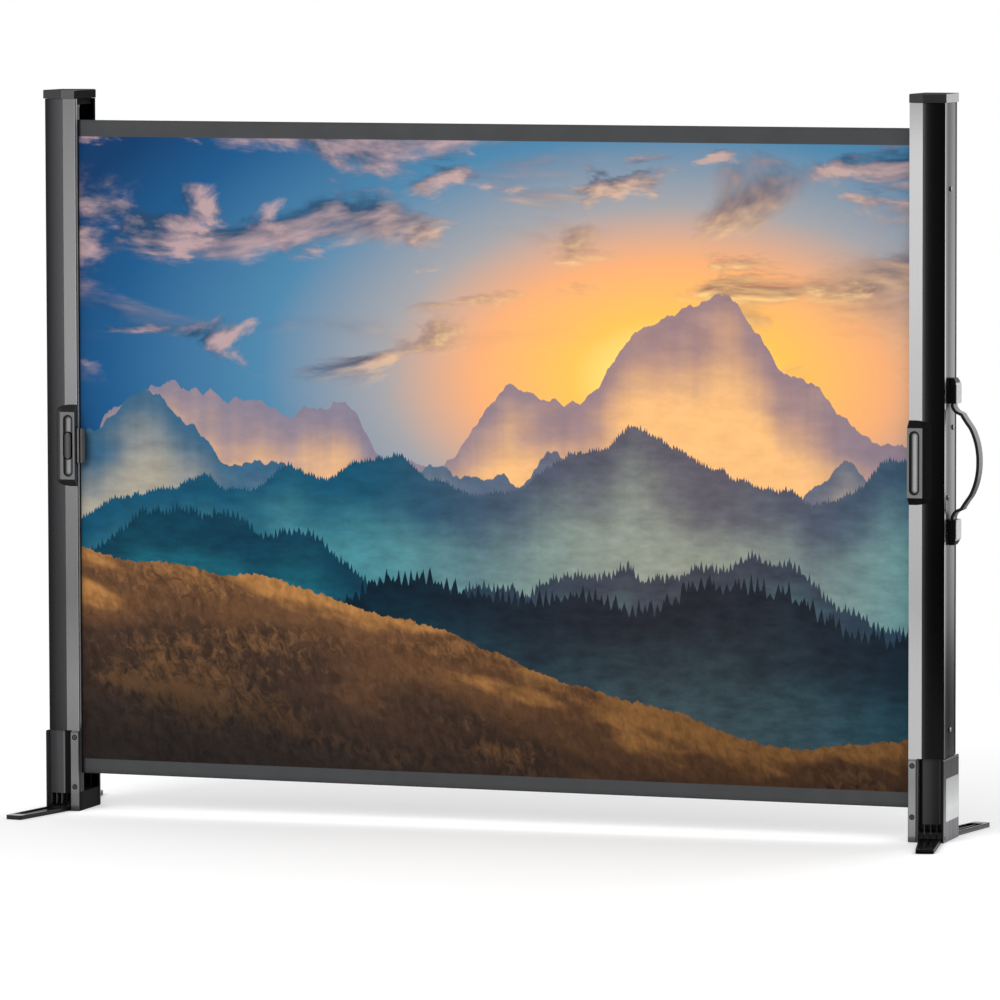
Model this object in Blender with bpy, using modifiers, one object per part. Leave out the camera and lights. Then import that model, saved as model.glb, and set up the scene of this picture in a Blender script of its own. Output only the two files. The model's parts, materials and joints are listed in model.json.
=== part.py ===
"""A pull-apart tabletop projection screen, modelled as the assembly that it is.

Two tall columns stand on a table. The right column holds a spring roller, and the screen
fabric is pulled off it sideways by the left column. Each column is an aluminium extrusion,
open towards the other one, with a black cover on its front and back, a cap, a moulded base
block and two feet that fold up into the block. A latch joins the columns when they meet.

Metres, +Z up, -Y is the front. The origin is the middle of the right base block's underside.
Inside a column, x runs outwards from its parting face, the face that meets the other column.
"""

import math

import bmesh
import bpy
from mathutils import Matrix

MM = 0.001

# The whole screen
COLUMN_HEIGHT = 884.0 * MM
OPENING = 1050.0 * MM
COLUMN_WIDTH = 41.5 * MM
COLUMN_DEPTH = 69.0 * MM
GRIP_MIDDLE = 450.0 * MM
GAP = 0.3 * MM
OVERRUN = 5.0 * MM
WELD = 0.001 * MM

# The extruded housing
STRIP_WIDTH = 16.0 * MM
COVER_SETBACK = 6.5 * MM
HOUSING_WALL = 1.8 * MM
SIDE_WALL = 2.4 * MM
SIDE_BEVEL_WIDTH = 5.3 * MM
SIDE_BEVEL_DEPTH = 0.9 * MM
SIDE_HOLLOW = 0.5 * MM
LIP_WIDTH = 3.6 * MM
LIP_DEPTH = 4.6 * MM
LIP_GROOVE_START = 1.6 * MM
LIP_GROOVE_WIDTH = 1.2 * MM
LIP_GROOVE_DEPTH = 1.8 * MM
PORT_RADIUS = 3.0 * MM
PORT_BORE = 1.7 * MM
PORT_OPEN_DEGREES = 80
PORT_STEPS = 7

# The black covers on the housing's front and back
COVER_WALL = 1.6 * MM
COVER_CROWN = 0.8 * MM
COVER_STEPS = 8

# The top cap
CAP_HEIGHT = 10.6 * MM
CAP_PROUD = 2.0 * MM
CAP_PLUG_DEPTH = 7.4 * MM
CAP_EDGE = 1.2 * MM

# The base block
BLOCK_HEIGHT = 99.0 * MM
BLOCK_PROUD = 3.0 * MM
BLOCK_SIDE_PROUD = 2.0 * MM
BLOCK_EDGE = 2.0 * MM
FLOOR_HEIGHT = 23.0 * MM
PLATE_BAY_WIDTH = 10.6 * MM
POCKET_RIB = 1.4 * MM
POCKET_DEPTH = 6.0 * MM
POCKET_WALL = 1.8 * MM
POCKET_CROWN = 0.7 * MM
POCKET_STEPS = 8
SPLAY_DEGREES = 10.9

# The hinge of each foot, in the foot of the base block
PIN_HEIGHT = 9.5 * MM
PIN_RADIUS = 1.5 * MM
PIN_STEPS = 16
PIN_SEAT = 1.3 * MM
KNUCKLE_BAY_HALF = 13.9 * MM
KNUCKLE_BAY_HEIGHT = 21.0 * MM
KNUCKLE_RADIUS = 4.0 * MM
KNUCKLE_CLEARANCE = 2.5 * MM
HINGE_RIB = 1.4 * MM
HINGE_RIBS = 3
HINGE_RIB_FOOT = 3.5 * MM
FINGER_PLAY = 0.4 * MM
FINGER_STEPS = 8

# The folding foot
FOOT_LENGTH = 115.0 * MM
FOOT_THICKNESS = 5.2 * MM
FOOT_ROOT_HALF = 13.5 * MM
FOOT_TIP_HALF = 10.8 * MM
FOOT_CORNER = 3.5 * MM
FOOT_ROOT_START = 3.9 * MM
FOOT_RIM = 2.4 * MM
FOOT_TIP_RIM = 15.0 * MM
FOOT_TRAY_DEPTH = 2.2 * MM
FOOT_TRAY_START = 12.0 * MM
FOOT_RAIL = 1.4 * MM
FOOT_SKIN = 0.1 * MM

# The light plates that are screwed over the strips at the base
PLATE_WIDTH = 9.7 * MM
PLATE_THICKNESS = 2.7 * MM
PLATE_MARGIN = 0.6 * MM
PLATE_CORNER = 2.0 * MM
PLATE_SCREW_RADIUS = 1.6 * MM
PLATE_SCREW_SINK = 3.1 * MM
PLATE_SCREW_LOW = 30.0 * MM
PLATE_SCREW_TOP_MARGIN = 8.0 * MM

# The grips
GRIP_PROUD = 9.5 * MM
GRIP_FACE_WIDTH = 18.5 * MM
GRIP_BASE_WIDTH = 26.0 * MM
GRIP_FACE_HEIGHT = 82.4 * MM
GRIP_BASE_HEIGHT = 100.6 * MM
GRIP_BURY = 4.0 * MM
GRIP_CORNER_WIDTH = 25.0 * MM
GRIP_CORNER_HEIGHT = 13.0 * MM
GRIP_CORNER_STEPS = 6
SCOOP_MIDDLE = 8.6 * MM
SCOOP_HALF_WIDTH = 6.2 * MM
SCOOP_HALF_HEIGHT = 38.0 * MM
SCOOP_DEPTH = 3.0 * MM
SCOOP_STEPS = 20
SCOOP_END_STEPS = 5

# The latch
LATCH_AXIS_X = 1.3 * MM
LATCH_AXIS_DEPTH = 2.4 * MM
BARREL_RADIUS = 2.0 * MM
BARREL_HALF = 23.6 * MM
BARREL_STEPS = 16
LATCH_PIN_RADIUS = 0.8 * MM
LATCH_PIN_END = 1.8 * MM
TAB_REACH = 11.7 * MM
TAB_HALF = 21.0 * MM
TAB_THICKNESS = 1.6 * MM
TAB_CORNER = 3.0 * MM
BARB_WIDTH = 2.4 * MM
BARB_DROP = 2.7 * MM
LEVER_REACH = 12.7 * MM
LEVER_HALF = 14.0 * MM
LATCH_PLAY = 0.6 * MM
LATCH_ROOM_X = 16.0 * MM
LATCH_ROOM_WALL = 1.0 * MM
TAB_SWING = 2.5 * MM
LEVER_WINDOW_START = 4.0 * MM
LEVER_WINDOW_END = 14.6 * MM
BUTTON_MIDDLE = 9.3 * MM
BUTTON_HALF_WIDTH = 5.3 * MM
BUTTON_HALF_HEIGHT = 17.0 * MM
BUTTON_SINK = 1.0 * MM
BUTTON_EDGE = 0.9 * MM
BUTTON_FLANGE = 1.0 * MM
BUTTON_FLANGE_THICKNESS = 0.8 * MM
BUTTON_NOSE_START = 11.5 * MM
BUTTON_NOSE_WIDTH = 2.0 * MM
BUTTON_NOSE_HALF = 6.0 * MM
STADIUM_STEPS = 8
HALF_TURN = 180
FULL_TURN = 360
SPRING_SEAT_DEPTH = 6.5 * MM
SPRING_SEAT_WALL = 1.2 * MM
SPRING_SEAT_LEG = 1.6 * MM
SPRING_SEAT_START = 4.6 * MM
SPRING_SEAT_END = 12.6 * MM
LATCH_SPRING_RADIUS = 2.6 * MM
LATCH_SPRING_WIRE = 0.3 * MM
LATCH_SPRING_TURNS = 5
CURL_STEPS = 8
SMOOTH_DEGREES = 35
FLAT_DEGREES = 0.5

# The carry handle
HANDLE_OVERALL = 197.6 * MM
HANDLE_END_HEIGHT = 30.0 * MM
HANDLE_END_REACH = 10.4 * MM
HANDLE_END_HALF = 11.8 * MM
HANDLE_TAPER_HEIGHT = 8.0 * MM
HANDLE_TAPER_REACH = 4.0 * MM
HANDLE_TAPER_SIDE = 3.0 * MM
STRAP_THICKNESS = 2.4 * MM
STRAP_HALF_WIDTH = 10.8 * MM
STRAP_RISE = 35.4 * MM
STRAP_STEPS = 4

# The roller and its spring
ROLLER_X = 20.5 * MM
ROLLER_Y = -8.4 * MM
TUBE_RADIUS = 12.5 * MM
TUBE_WALL = 1.0 * MM
TUBE_STEPS = 24
TUBE_END_ROOM = 4.5 * MM
PLUG_LENGTH = 12.0 * MM
PLUG_FLANGE = 1.7 * MM
PLUG_FLANGE_PROUD = 0.4 * MM
JOURNAL_RADIUS = 4.0 * MM
JOURNAL_LENGTH = 9.0 * MM
MANDREL_RADIUS = 3.0 * MM
MANDREL_OVERHANG = 36.0 * MM
COLLAR_RADIUS = 8.5 * MM
COLLAR_THICKNESS = 4.0 * MM
RUNNING_GAP = 0.4 * MM
SPRING_RADIUS = 7.0 * MM
SPRING_WIRE = 0.8 * MM
SPRING_TURNS = 22
SPRING_LENGTH = 220.0 * MM
BRACKET_HALF = 9.0 * MM
BRACKET_HEIGHT = 10.5 * MM
BRACKET_EDGE = 1.0 * MM
BORE_STEPS = 16

# The fabric and its clamp
FABRIC_LOW = 43.0 * MM
FABRIC_TOP_MARGIN = 39.0 * MM
FABRIC_THICKNESS = 0.5 * MM
ROLL_PITCH = 1.0 * MM
ROLL_TURNS = 2.25
ROLL_STEPS = 24
CLAMP_START = 0.8 * MM
CLAMP_WIDTH = 7.8 * MM
CLAMP_BAR_DEPTH = 6.0 * MM
CLAMP_JAW_DEPTH = 1.5 * MM
CLAMP_TIP_HEIGHT = 3.4 * MM
CLAMP_TIP_MARGIN = 1.5 * MM
FABRIC_TUCK = 7.0 * MM

# Worked out from the sizes above
HALF_DEPTH = COLUMN_DEPTH / 2
COVER_SLOPE = COVER_SETBACK / (COLUMN_WIDTH - STRIP_WIDTH)
SEAT_DROP = COVER_WALL + GAP
BLOCK_WIDTH = COLUMN_WIDTH + BLOCK_SIDE_PROUD
BLOCK_HALF_DEPTH = HALF_DEPTH + BLOCK_PROUD
POCKET_START = PLATE_BAY_WIDTH + POCKET_RIB
POCKET_END = COLUMN_WIDTH + GAP
POCKET_MIDDLE = (POCKET_START + POCKET_END) / 2
SPLAY = math.radians(SPLAY_DEGREES)
HOUSING_LOW = FLOOR_HEIGHT + GAP
CAP_LOW = COLUMN_HEIGHT - CAP_HEIGHT
HOUSING_HIGH = CAP_LOW - GAP
CAP_PLUG_LOW = CAP_LOW - CAP_PLUG_DEPTH
GRIP_FRONT = -HALF_DEPTH - GRIP_PROUD
LATCH_AXIS_Y = -HALF_DEPTH - LATCH_AXIS_DEPTH
FABRIC_HIGH = COLUMN_HEIGHT - FABRIC_TOP_MARGIN
TUBE_LOW = FABRIC_LOW - TUBE_END_ROOM
TUBE_HIGH = FABRIC_HIGH + TUBE_END_ROOM
ROLL_START_RADIUS = TUBE_RADIUS + GAP
ROLL_RADIUS = ROLL_START_RADIUS + ROLL_PITCH * ROLL_TURNS + FABRIC_THICKNESS
FABRIC_BACK = ROLLER_Y - ROLL_RADIUS - GAP
FABRIC_FRONT = FABRIC_BACK - FABRIC_THICKNESS
HINGE_PITCH = (2 * KNUCKLE_BAY_HALF + HINGE_RIB) / (HINGE_RIBS + 1)

# Points of the strap's middle line: how far out, as a share of its rise, and how far from
# the handle's middle, as a share of half the space between the handle's ends
STRAP_SHARES = (
    (0.125, 1.0),
    (0.135, 0.94),
    (0.235, 0.865),
    (0.43, 0.79),
    (0.585, 0.7),
    (0.77, 0.55),
    (0.915, 0.35),
    (0.985, 0.16),
    (1.0, 0.0),
)
# Points of the hinge rib's lower front corner, as shares of its depth
RIB_CORNER_SHARE = 0.7


def clear_scene():
    """Empties the scene that Blender starts with."""
    for obj in list(bpy.data.objects):
        bpy.data.objects.remove(obj)


def make_collection(name):
    """A new collection in the scene."""
    collection = bpy.data.collections.new(name)
    bpy.context.scene.collection.children.link(collection)
    return collection


def make_material(name, color, roughness, metallic):
    """A Principled material with one colour."""
    material = bpy.data.materials.new(name)
    material.use_nodes = True
    shader = material.node_tree.nodes["Principled BSDF"]
    shader.inputs["Base Color"].default_value = (*color, 1.0)
    shader.inputs["Roughness"].default_value = roughness
    shader.inputs["Metallic"].default_value = metallic
    material.diffuse_color = (*color, 1.0)
    return material


def finish_mesh(mesh):
    """Welds a mesh and points its faces outwards."""
    shape = bmesh.new()
    shape.from_mesh(mesh)
    bmesh.ops.remove_doubles(shape, verts=shape.verts, dist=WELD)
    bmesh.ops.recalc_face_normals(shape, faces=shape.faces)
    shape.to_mesh(mesh)
    shape.free()
    return mesh


def mesh_of(data):
    """The finished mesh of a curve, or of a mesh with modifiers, given by its object."""
    bpy.context.scene.collection.objects.link(data)
    bpy.context.view_layer.update()
    graph = bpy.context.evaluated_depsgraph_get()
    mesh = bpy.data.meshes.new_from_object(data.evaluated_get(graph))
    bpy.data.objects.remove(data)
    return finish_mesh(mesh)


def prism(outline, low, high):
    """A flat outline in XY, carried up from low to high."""
    curve = bpy.data.curves.new("outline", "CURVE")
    curve.dimensions = "2D"
    curve.fill_mode = "BOTH"
    curve.extrude = (high - low) / 2
    spline = curve.splines.new("POLY")
    spline.points.add(len(outline) - 1)
    for point, (x, y) in zip(spline.points, outline):
        point.co = (x, y, 0, 1)
    spline.use_cyclic_u = True
    mesh = mesh_of(bpy.data.objects.new("outline", curve))
    mesh.transform(Matrix.Translation((0, 0, (low + high) / 2)))
    return mesh


def prism_along_y(outline, low, high):
    """A flat outline in XZ, carried along Y from low to high."""
    mesh = prism(outline, low, high)
    mesh.transform(Matrix(((1, 0, 0, 0), (0, 0, 1, 0), (0, 1, 0, 0), (0, 0, 0, 1))))
    return finish_mesh(mesh)


def prism_along_x(outline, low, high):
    """A flat outline in YZ, carried along X from low to high."""
    mesh = prism(outline, low, high)
    mesh.transform(Matrix(((0, 0, 1, 0), (1, 0, 0, 0), (0, 1, 0, 0), (0, 0, 0, 1))))
    return finish_mesh(mesh)


def box(low, high):
    """A box between two corners."""
    shape = bmesh.new()
    bmesh.ops.create_cube(shape, size=1.0)
    sizes = [max(a, b) - min(a, b) for a, b in zip(low, high)]
    middle = [(a + b) / 2 for a, b in zip(low, high)]
    shape.transform(Matrix.Translation(middle) @ Matrix.Diagonal((*sizes, 1.0)))
    mesh = bpy.data.meshes.new("box")
    shape.to_mesh(mesh)
    shape.free()
    return finish_mesh(mesh)


def cylinder(radius, low, high, steps, axis="Z"):
    """A cylinder on one of the axes, between two places along it."""
    shape = bmesh.new()
    bmesh.ops.create_cone(
        shape, cap_ends=True, segments=steps, radius1=radius, radius2=radius, depth=high - low
    )
    shape.transform(Matrix.Translation((0, 0, (low + high) / 2)))
    turns = {"X": Matrix.Rotation(math.pi / 2, 4, "Y"), "Y": Matrix.Rotation(-math.pi / 2, 4, "X")}
    shape.transform(turns.get(axis, Matrix.Identity(4)))
    mesh = bpy.data.meshes.new("cylinder")
    shape.to_mesh(mesh)
    shape.free()
    return finish_mesh(mesh)


def turned(profile, steps, closed):
    """A profile of (radius, height) points turned about Z."""
    mesh = bpy.data.meshes.new("profile")
    edges = [(i, i + 1) for i in range(len(profile) - 1)]
    if closed:
        edges.append((len(profile) - 1, 0))
    mesh.from_pydata([(radius, 0, height) for radius, height in profile], edges, [])
    obj = bpy.data.objects.new("profile", mesh)
    screw = obj.modifiers.new("turn", "SCREW")
    screw.steps = screw.render_steps = steps
    screw.use_merge_vertices = True
    screw.merge_threshold = WELD
    return mesh_of(obj)


def coil(radius, wire, low, high, turns):
    """A wire wound about Z from low to high, as one tube."""
    curve = bpy.data.curves.new("coil", "CURVE")
    curve.dimensions = "3D"
    curve.bevel_depth = wire
    curve.bevel_resolution = 1
    curve.use_fill_caps = True
    spline = curve.splines.new("POLY")
    count = turns * CURL_STEPS
    spline.points.add(count)
    start = low + wire
    rise = high - low - 2 * wire
    for index, point in enumerate(spline.points):
        angle = 2 * math.pi * index / CURL_STEPS
        height = start + rise * index / count
        point.co = (radius * math.cos(angle), radius * math.sin(angle), height, 1)
    print("least gap between curls, mm:", round((rise / turns - 2 * wire) / MM, 2))
    return mesh_of(bpy.data.objects.new("coil", curve))


def arc(middle, radius, start, end, steps):
    """Points along an arc, with both ends. The angles are in degrees."""
    angles = [math.radians(start + (end - start) * i / steps) for i in range(steps + 1)]
    return [(middle[0] + radius * math.cos(a), middle[1] + radius * math.sin(a)) for a in angles]


def stadium(middle_x, half_width, half_height):
    """An upright outline in XZ with round ends, about the grips' middle."""
    straight = half_height - half_width
    top = arc((middle_x, GRIP_MIDDLE + straight), half_width, 0, HALF_TURN, STADIUM_STEPS)
    low = arc((middle_x, GRIP_MIDDLE - straight), half_width, HALF_TURN, FULL_TURN, STADIUM_STEPS)
    return top + low


def back_half(points):
    """The front half's points mirrored to the back, in the reverse order."""
    return [(x, -y) for x, y in reversed(points)]


def bevel_edges(mesh, chosen, width, segments):
    """Rounds the edges for which the test of their two ends is true."""
    shape = bmesh.new()
    shape.from_mesh(mesh)
    flat = math.radians(FLAT_DEGREES)
    bmesh.ops.dissolve_limit(shape, angle_limit=flat, verts=shape.verts, edges=shape.edges)
    edges = [edge for edge in shape.edges if chosen(*(vert.co for vert in edge.verts))]
    bmesh.ops.bevel(
        shape, geom=edges, offset=width, segments=segments, profile=0.5, affect="EDGES"
    )
    shape.to_mesh(mesh)
    shape.free()
    return finish_mesh(mesh)


class Column:
    """One column: its name, the way its x runs, and the empty that its pieces hang on."""

    def __init__(self, name, side, parting_x):
        self.name = name
        self.side = side
        self.parting_x = parting_x
        self.frame = bpy.data.objects.new(name + "_column_frame", None)
        self.frame.location = (parting_x, 0, 0)
        PARTS.objects.link(self.frame)

    def mirrored(self, mesh):
        """Turns a mesh made for the right column into this column's own."""
        if self.side < 0:
            mesh.transform(Matrix.Diagonal((-1, 1, 1, 1)))
            finish_mesh(mesh)
        return mesh

    def piece(self, name, mesh, material, parent=None):
        """Adds a piece of this column, made in the column's own x."""
        return add_piece(name, self.mirrored(mesh), material, parent or self.frame)

    def cut(self, target, mesh, operation="DIFFERENCE"):
        """Cuts a piece of this column, or joins the mesh to it."""
        return combine(target, self.mirrored(mesh), self.frame, operation)


def add_piece(name, mesh, material, parent):
    """Adds one named piece under its parent."""
    mesh.name = name
    obj = bpy.data.objects.new(name, mesh)
    mesh.materials.clear()
    mesh.materials.append(material)
    obj.parent = parent
    PARTS.objects.link(obj)
    return obj


def combine(target, mesh, parent, operation="DIFFERENCE"):
    """Adds an exact Boolean of a helper mesh to a piece."""
    helper = bpy.data.objects.new(target.name + "_helper", mesh)
    helper.parent = parent
    helper.hide_render = True
    helper.display_type = "WIRE"
    CUTTERS.objects.link(helper)
    boolean = target.modifiers.new(operation.lower(), "BOOLEAN")
    boolean.operation = operation
    boolean.solver = "EXACT"
    boolean.object = helper
    return helper


def seat_line(x):
    """Where the housing's sloped front carries the cover, at a place across the column."""
    return -HALF_DEPTH + SEAT_DROP + COVER_SLOPE * (x - STRIP_WIDTH)


def housing_outline():
    """The section of the extrusion: a deep U with lips, open at the parting face."""
    corner_x = COLUMN_WIDTH - SIDE_BEVEL_DEPTH
    flat_start = seat_line(corner_x) + SIDE_BEVEL_WIDTH
    hollow = [
        (COLUMN_WIDTH - SIDE_HOLLOW * (1 - share * share), flat_start * share)
        for share in (1.0, 0.75, 0.5, 0.25)
    ]
    outer = [
        (0, -HALF_DEPTH),
        (STRIP_WIDTH, -HALF_DEPTH),
        (STRIP_WIDTH, -HALF_DEPTH + SEAT_DROP),
        (corner_x, seat_line(corner_x)),
        *hollow,
    ]
    inner_y = -HALF_DEPTH + HOUSING_WALL
    groove = -HALF_DEPTH + LIP_GROOVE_START
    lip_front = groove + LIP_GROOVE_WIDTH
    inner = [
        (0, groove),
        (LIP_GROOVE_DEPTH, groove),
        (LIP_GROOVE_DEPTH, lip_front),
        (0, lip_front),
        (0, lip_front + LIP_DEPTH),
        (LIP_WIDTH, lip_front + LIP_DEPTH),
        (LIP_WIDTH, inner_y),
        (STRIP_WIDTH - 2 * HOUSING_WALL, inner_y),
        (STRIP_WIDTH, seat_line(STRIP_WIDTH) + HOUSING_WALL),
        *screw_port(),
    ]
    middle = [(COLUMN_WIDTH - SIDE_HOLLOW, 0)]
    return outer + middle + back_half(outer) + [(x, -y) for x, y in inner] + inner[::-1]


def screw_port():
    """The inner outline round one C-shaped port, where the cap's screw bites.

    The path leaves the front wall at one crossing with the port's circle, goes round the
    bore and comes back to the side wall. Each crossing's angle is the arc cosine of the
    wall's distance over the radius, from the direction square to that wall.
    """
    inner_x = COLUMN_WIDTH - SIDE_WALL
    x = inner_x - PORT_RADIUS + HOUSING_WALL / 2
    y = seat_line(x) + PORT_RADIUS + HOUSING_WALL / 2
    slope = math.degrees(math.atan(COVER_SLOPE))
    to_front = (y - seat_line(x) - HOUSING_WALL) * math.cos(math.radians(slope))
    leaves = 270 + slope - math.degrees(math.acos(to_front / PORT_RADIUS))
    returns = math.degrees(math.acos((inner_x - x) / PORT_RADIUS))
    first = HALF_TURN
    last = HALF_TURN - PORT_OPEN_DEGREES
    outer = arc((x, y), PORT_RADIUS, leaves, first, PORT_STEPS // 2)
    bore = arc((x, y), PORT_BORE, first, FULL_TURN + last, PORT_STEPS)
    back = arc((x, y), PORT_RADIUS, last, returns, PORT_STEPS // 2)
    return outer + bore + back


def pocket_face(x):
    """Where the face of the block's foot pocket lies: it slopes as the foot splays."""
    return -BLOCK_HALF_DEPTH + (x - POCKET_START) * math.tan(SPLAY)


def pocket_back(x, behind):
    """A plane behind the pocket's face, square to the foot, at a place across the column."""
    return pocket_face(x) + behind / math.cos(SPLAY)


def pocket_room(start, behind):
    """The plan of the room in front of a plane behind the pocket's face."""
    far = COLUMN_WIDTH + OVERRUN
    front = -BLOCK_HALF_DEPTH - OVERRUN
    return [(start, front), (far, front), (far, pocket_back(far, behind)), (start, pocket_back(start, behind))]


def make_housing(column):
    """The extruded housing, notched at its foot for the two foot pockets."""
    name = column.name + "_housing"
    mesh = prism(housing_outline(), HOUSING_LOW, HOUSING_HIGH)
    housing = column.piece(name, mesh, SILVER)
    start = PLATE_BAY_WIDTH - GAP
    behind = POCKET_DEPTH + POCKET_WALL + GAP
    top = BLOCK_HEIGHT + GAP
    for facing in (1, -1):
        room = [(x, facing * y) for x, y in pocket_room(start, behind)]
        column.cut(housing, prism(room, -OVERRUN, top))
    return housing


def cover_outline():
    """The section of a cover: straight inside, slightly crowned outside."""
    start_x = STRIP_WIDTH + GAP
    run = COLUMN_WIDTH - start_x
    outer = []
    for index in range(COVER_STEPS + 1):
        share = index / COVER_STEPS
        crown = COVER_CROWN * 4 * share * (1 - share)
        outer.append((start_x + run * share, -HALF_DEPTH + COVER_SETBACK * share - crown))
    inner = [
        (COLUMN_WIDTH, -HALF_DEPTH + COVER_SETBACK + COVER_WALL),
        (start_x, -HALF_DEPTH + COVER_WALL),
    ]
    return outer + inner


def make_cover(column, place, facing):
    """A black cover on the front or the back of the housing."""
    outline = [(x, facing * y) for x, y in cover_outline()]
    mesh = prism(outline, BLOCK_HEIGHT + GAP, HOUSING_HIGH)
    return column.piece(f"{column.name}_{place}_cover", mesh, GLOSS_BLACK)


def make_cap(column):
    """The cap: a proud top with a plug that fills the housing's end."""
    front = [
        (0, -HALF_DEPTH - CAP_PROUD),
        (STRIP_WIDTH, -HALF_DEPTH - CAP_PROUD),
        (COLUMN_WIDTH + CAP_PROUD, -HALF_DEPTH + COVER_SETBACK - CAP_PROUD),
    ]
    mesh = prism(front + back_half(front), CAP_LOW, COLUMN_HEIGHT)
    lid = CAP_LOW + CAP_HEIGHT / 2
    inner = CAP_EDGE / 2
    mesh = bevel_edges(
        mesh, lambda a, b: min(a.z, b.z) > lid or (a - b).z and a.x > inner, CAP_EDGE, 2
    )
    cap = column.piece(column.name + "_top_cap", mesh, BLACK)
    inside = HOUSING_WALL + GAP
    wall = COLUMN_WIDTH - SIDE_WALL - 2 * PORT_RADIUS
    plug = [
        (LIP_WIDTH + GAP, -HALF_DEPTH + inside),
        (STRIP_WIDTH - 2 * HOUSING_WALL - GAP, -HALF_DEPTH + inside),
        (STRIP_WIDTH, seat_line(STRIP_WIDTH) + inside + GAP),
        (wall, seat_line(wall) + inside),
    ]
    middle = CAP_LOW + CAP_HEIGHT / 2
    column.cut(cap, prism(plug + back_half(plug), CAP_PLUG_LOW, middle), "UNION")
    return cap


def pocket_outline():
    """The plan of a foot pocket, whose back is slightly crowned."""
    run = POCKET_END - POCKET_START
    back = []
    for index in range(POCKET_STEPS + 1):
        share = index / POCKET_STEPS
        x = POCKET_END - run * share
        crown = POCKET_CROWN * 4 * share * (1 - share)
        back.append((x, pocket_back(x, POCKET_DEPTH) - crown))
    front = -BLOCK_HALF_DEPTH - OVERRUN
    return [(POCKET_START, front), (POCKET_END, front), *back]


def foot_hinge(facing):
    """Where a foot's pin lies inside the column, and how the foot's own frame is turned."""
    x = POCKET_MIDDLE - PIN_HEIGHT * math.sin(SPLAY)
    y = pocket_face(POCKET_MIDDLE) + PIN_HEIGHT * math.cos(SPLAY)
    turn = SPLAY if facing > 0 else math.pi - SPLAY
    return (x, facing * y, PIN_HEIGHT), turn


def at_hinge(mesh, facing):
    """Moves a mesh made in a foot's own frame to its place in the column.

    In the foot's frame the pin runs along X through the origin and the foot points to -Y.
    """
    place, turn = foot_hinge(facing)
    mesh.transform(Matrix.Translation(place) @ Matrix.Rotation(turn, 4, "Z"))
    return mesh


def hinge_room():
    """The room for the knuckles, in the foot's own frame."""
    back = KNUCKLE_RADIUS + KNUCKLE_CLEARANCE
    front = POCKET_DEPTH - PIN_HEIGHT - POCKET_CROWN - GAP
    return box(
        (-KNUCKLE_BAY_HALF, front, -PIN_HEIGHT - OVERRUN),
        (KNUCKLE_BAY_HALF, back, KNUCKLE_BAY_HEIGHT - PIN_HEIGHT),
    )


def hinge_rib(middle):
    """One rib between the knuckles, in the foot's own frame."""
    back = KNUCKLE_RADIUS + KNUCKLE_CLEARANCE + GAP
    front = POCKET_DEPTH - PIN_HEIGHT
    low = -PIN_HEIGHT + HINGE_RIB_FOOT / 2
    outline = [
        (back, low),
        (front * RIB_CORNER_SHARE, low),
        (front, low + HINGE_RIB_FOOT),
        (front, KNUCKLE_BAY_HEIGHT - PIN_HEIGHT + GAP),
        (back, KNUCKLE_BAY_HEIGHT - PIN_HEIGHT + GAP),
    ]
    return prism_along_x(outline, middle - HINGE_RIB / 2, middle + HINGE_RIB / 2)


def make_block(column):
    """The moulded base block, with its foot pockets and their knuckle hinges."""
    corners = [(0, -BLOCK_HALF_DEPTH), (BLOCK_WIDTH, -BLOCK_HALF_DEPTH)]
    mesh = prism(corners + back_half(corners), 0, BLOCK_HEIGHT)
    half = BLOCK_HEIGHT / 2
    inner = BLOCK_WIDTH / 2
    mesh = bevel_edges(
        mesh,
        lambda a, b: min(a.x, b.x) > inner and max(a.z, b.z) > half,
        BLOCK_EDGE,
        2,
    )
    block = column.piece(column.name + "_base_block", mesh, BLACK)
    wall = POCKET_DEPTH + POCKET_WALL
    front = -BLOCK_HALF_DEPTH - OVERRUN
    room = [
        (-OVERRUN, front),
        (PLATE_BAY_WIDTH, front),
        (PLATE_BAY_WIDTH, pocket_back(PLATE_BAY_WIDTH, wall)),
        (POCKET_END, pocket_back(POCKET_END, wall)),
    ]
    column.cut(block, prism(room + back_half(room), FLOOR_HEIGHT, BLOCK_HEIGHT + OVERRUN))
    seat = HALF_DEPTH + GAP
    for facing in (1, -1):
        bay = box(
            (-OVERRUN, -facing * seat, -OVERRUN),
            (PLATE_BAY_WIDTH, facing * front, FLOOR_HEIGHT + OVERRUN),
        )
        column.cut(block, bay)
        pocket = [(x, facing * y) for x, y in pocket_outline()]
        column.cut(block, prism(pocket, -OVERRUN, BLOCK_HEIGHT + OVERRUN))
        column.cut(block, at_hinge(hinge_room(), facing))
        for index in range(HINGE_RIBS):
            middle = (index - (HINGE_RIBS - 1) / 2) * HINGE_PITCH
            column.cut(block, at_hinge(hinge_rib(middle), facing), "UNION")
        reach = KNUCKLE_BAY_HALF + PIN_SEAT + GAP
        bore = cylinder(PIN_RADIUS + GAP, -reach, reach, PIN_STEPS, "X")
        column.cut(block, at_hinge(bore, facing))
    return block


def finger_outline():
    """The side view of a knuckle finger, in the foot's own frame, as (y, z)."""
    round_part = arc((0, 0), KNUCKLE_RADIUS, 90, -90, FINGER_STEPS)
    under = -PIN_HEIGHT + FOOT_SKIN
    over = -PIN_HEIGHT + FOOT_THICKNESS - FOOT_SKIN
    root = -FOOT_ROOT_START
    end = root - KNUCKLE_RADIUS
    return [*round_part, (root, under), (end, under), (end, over)]


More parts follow.
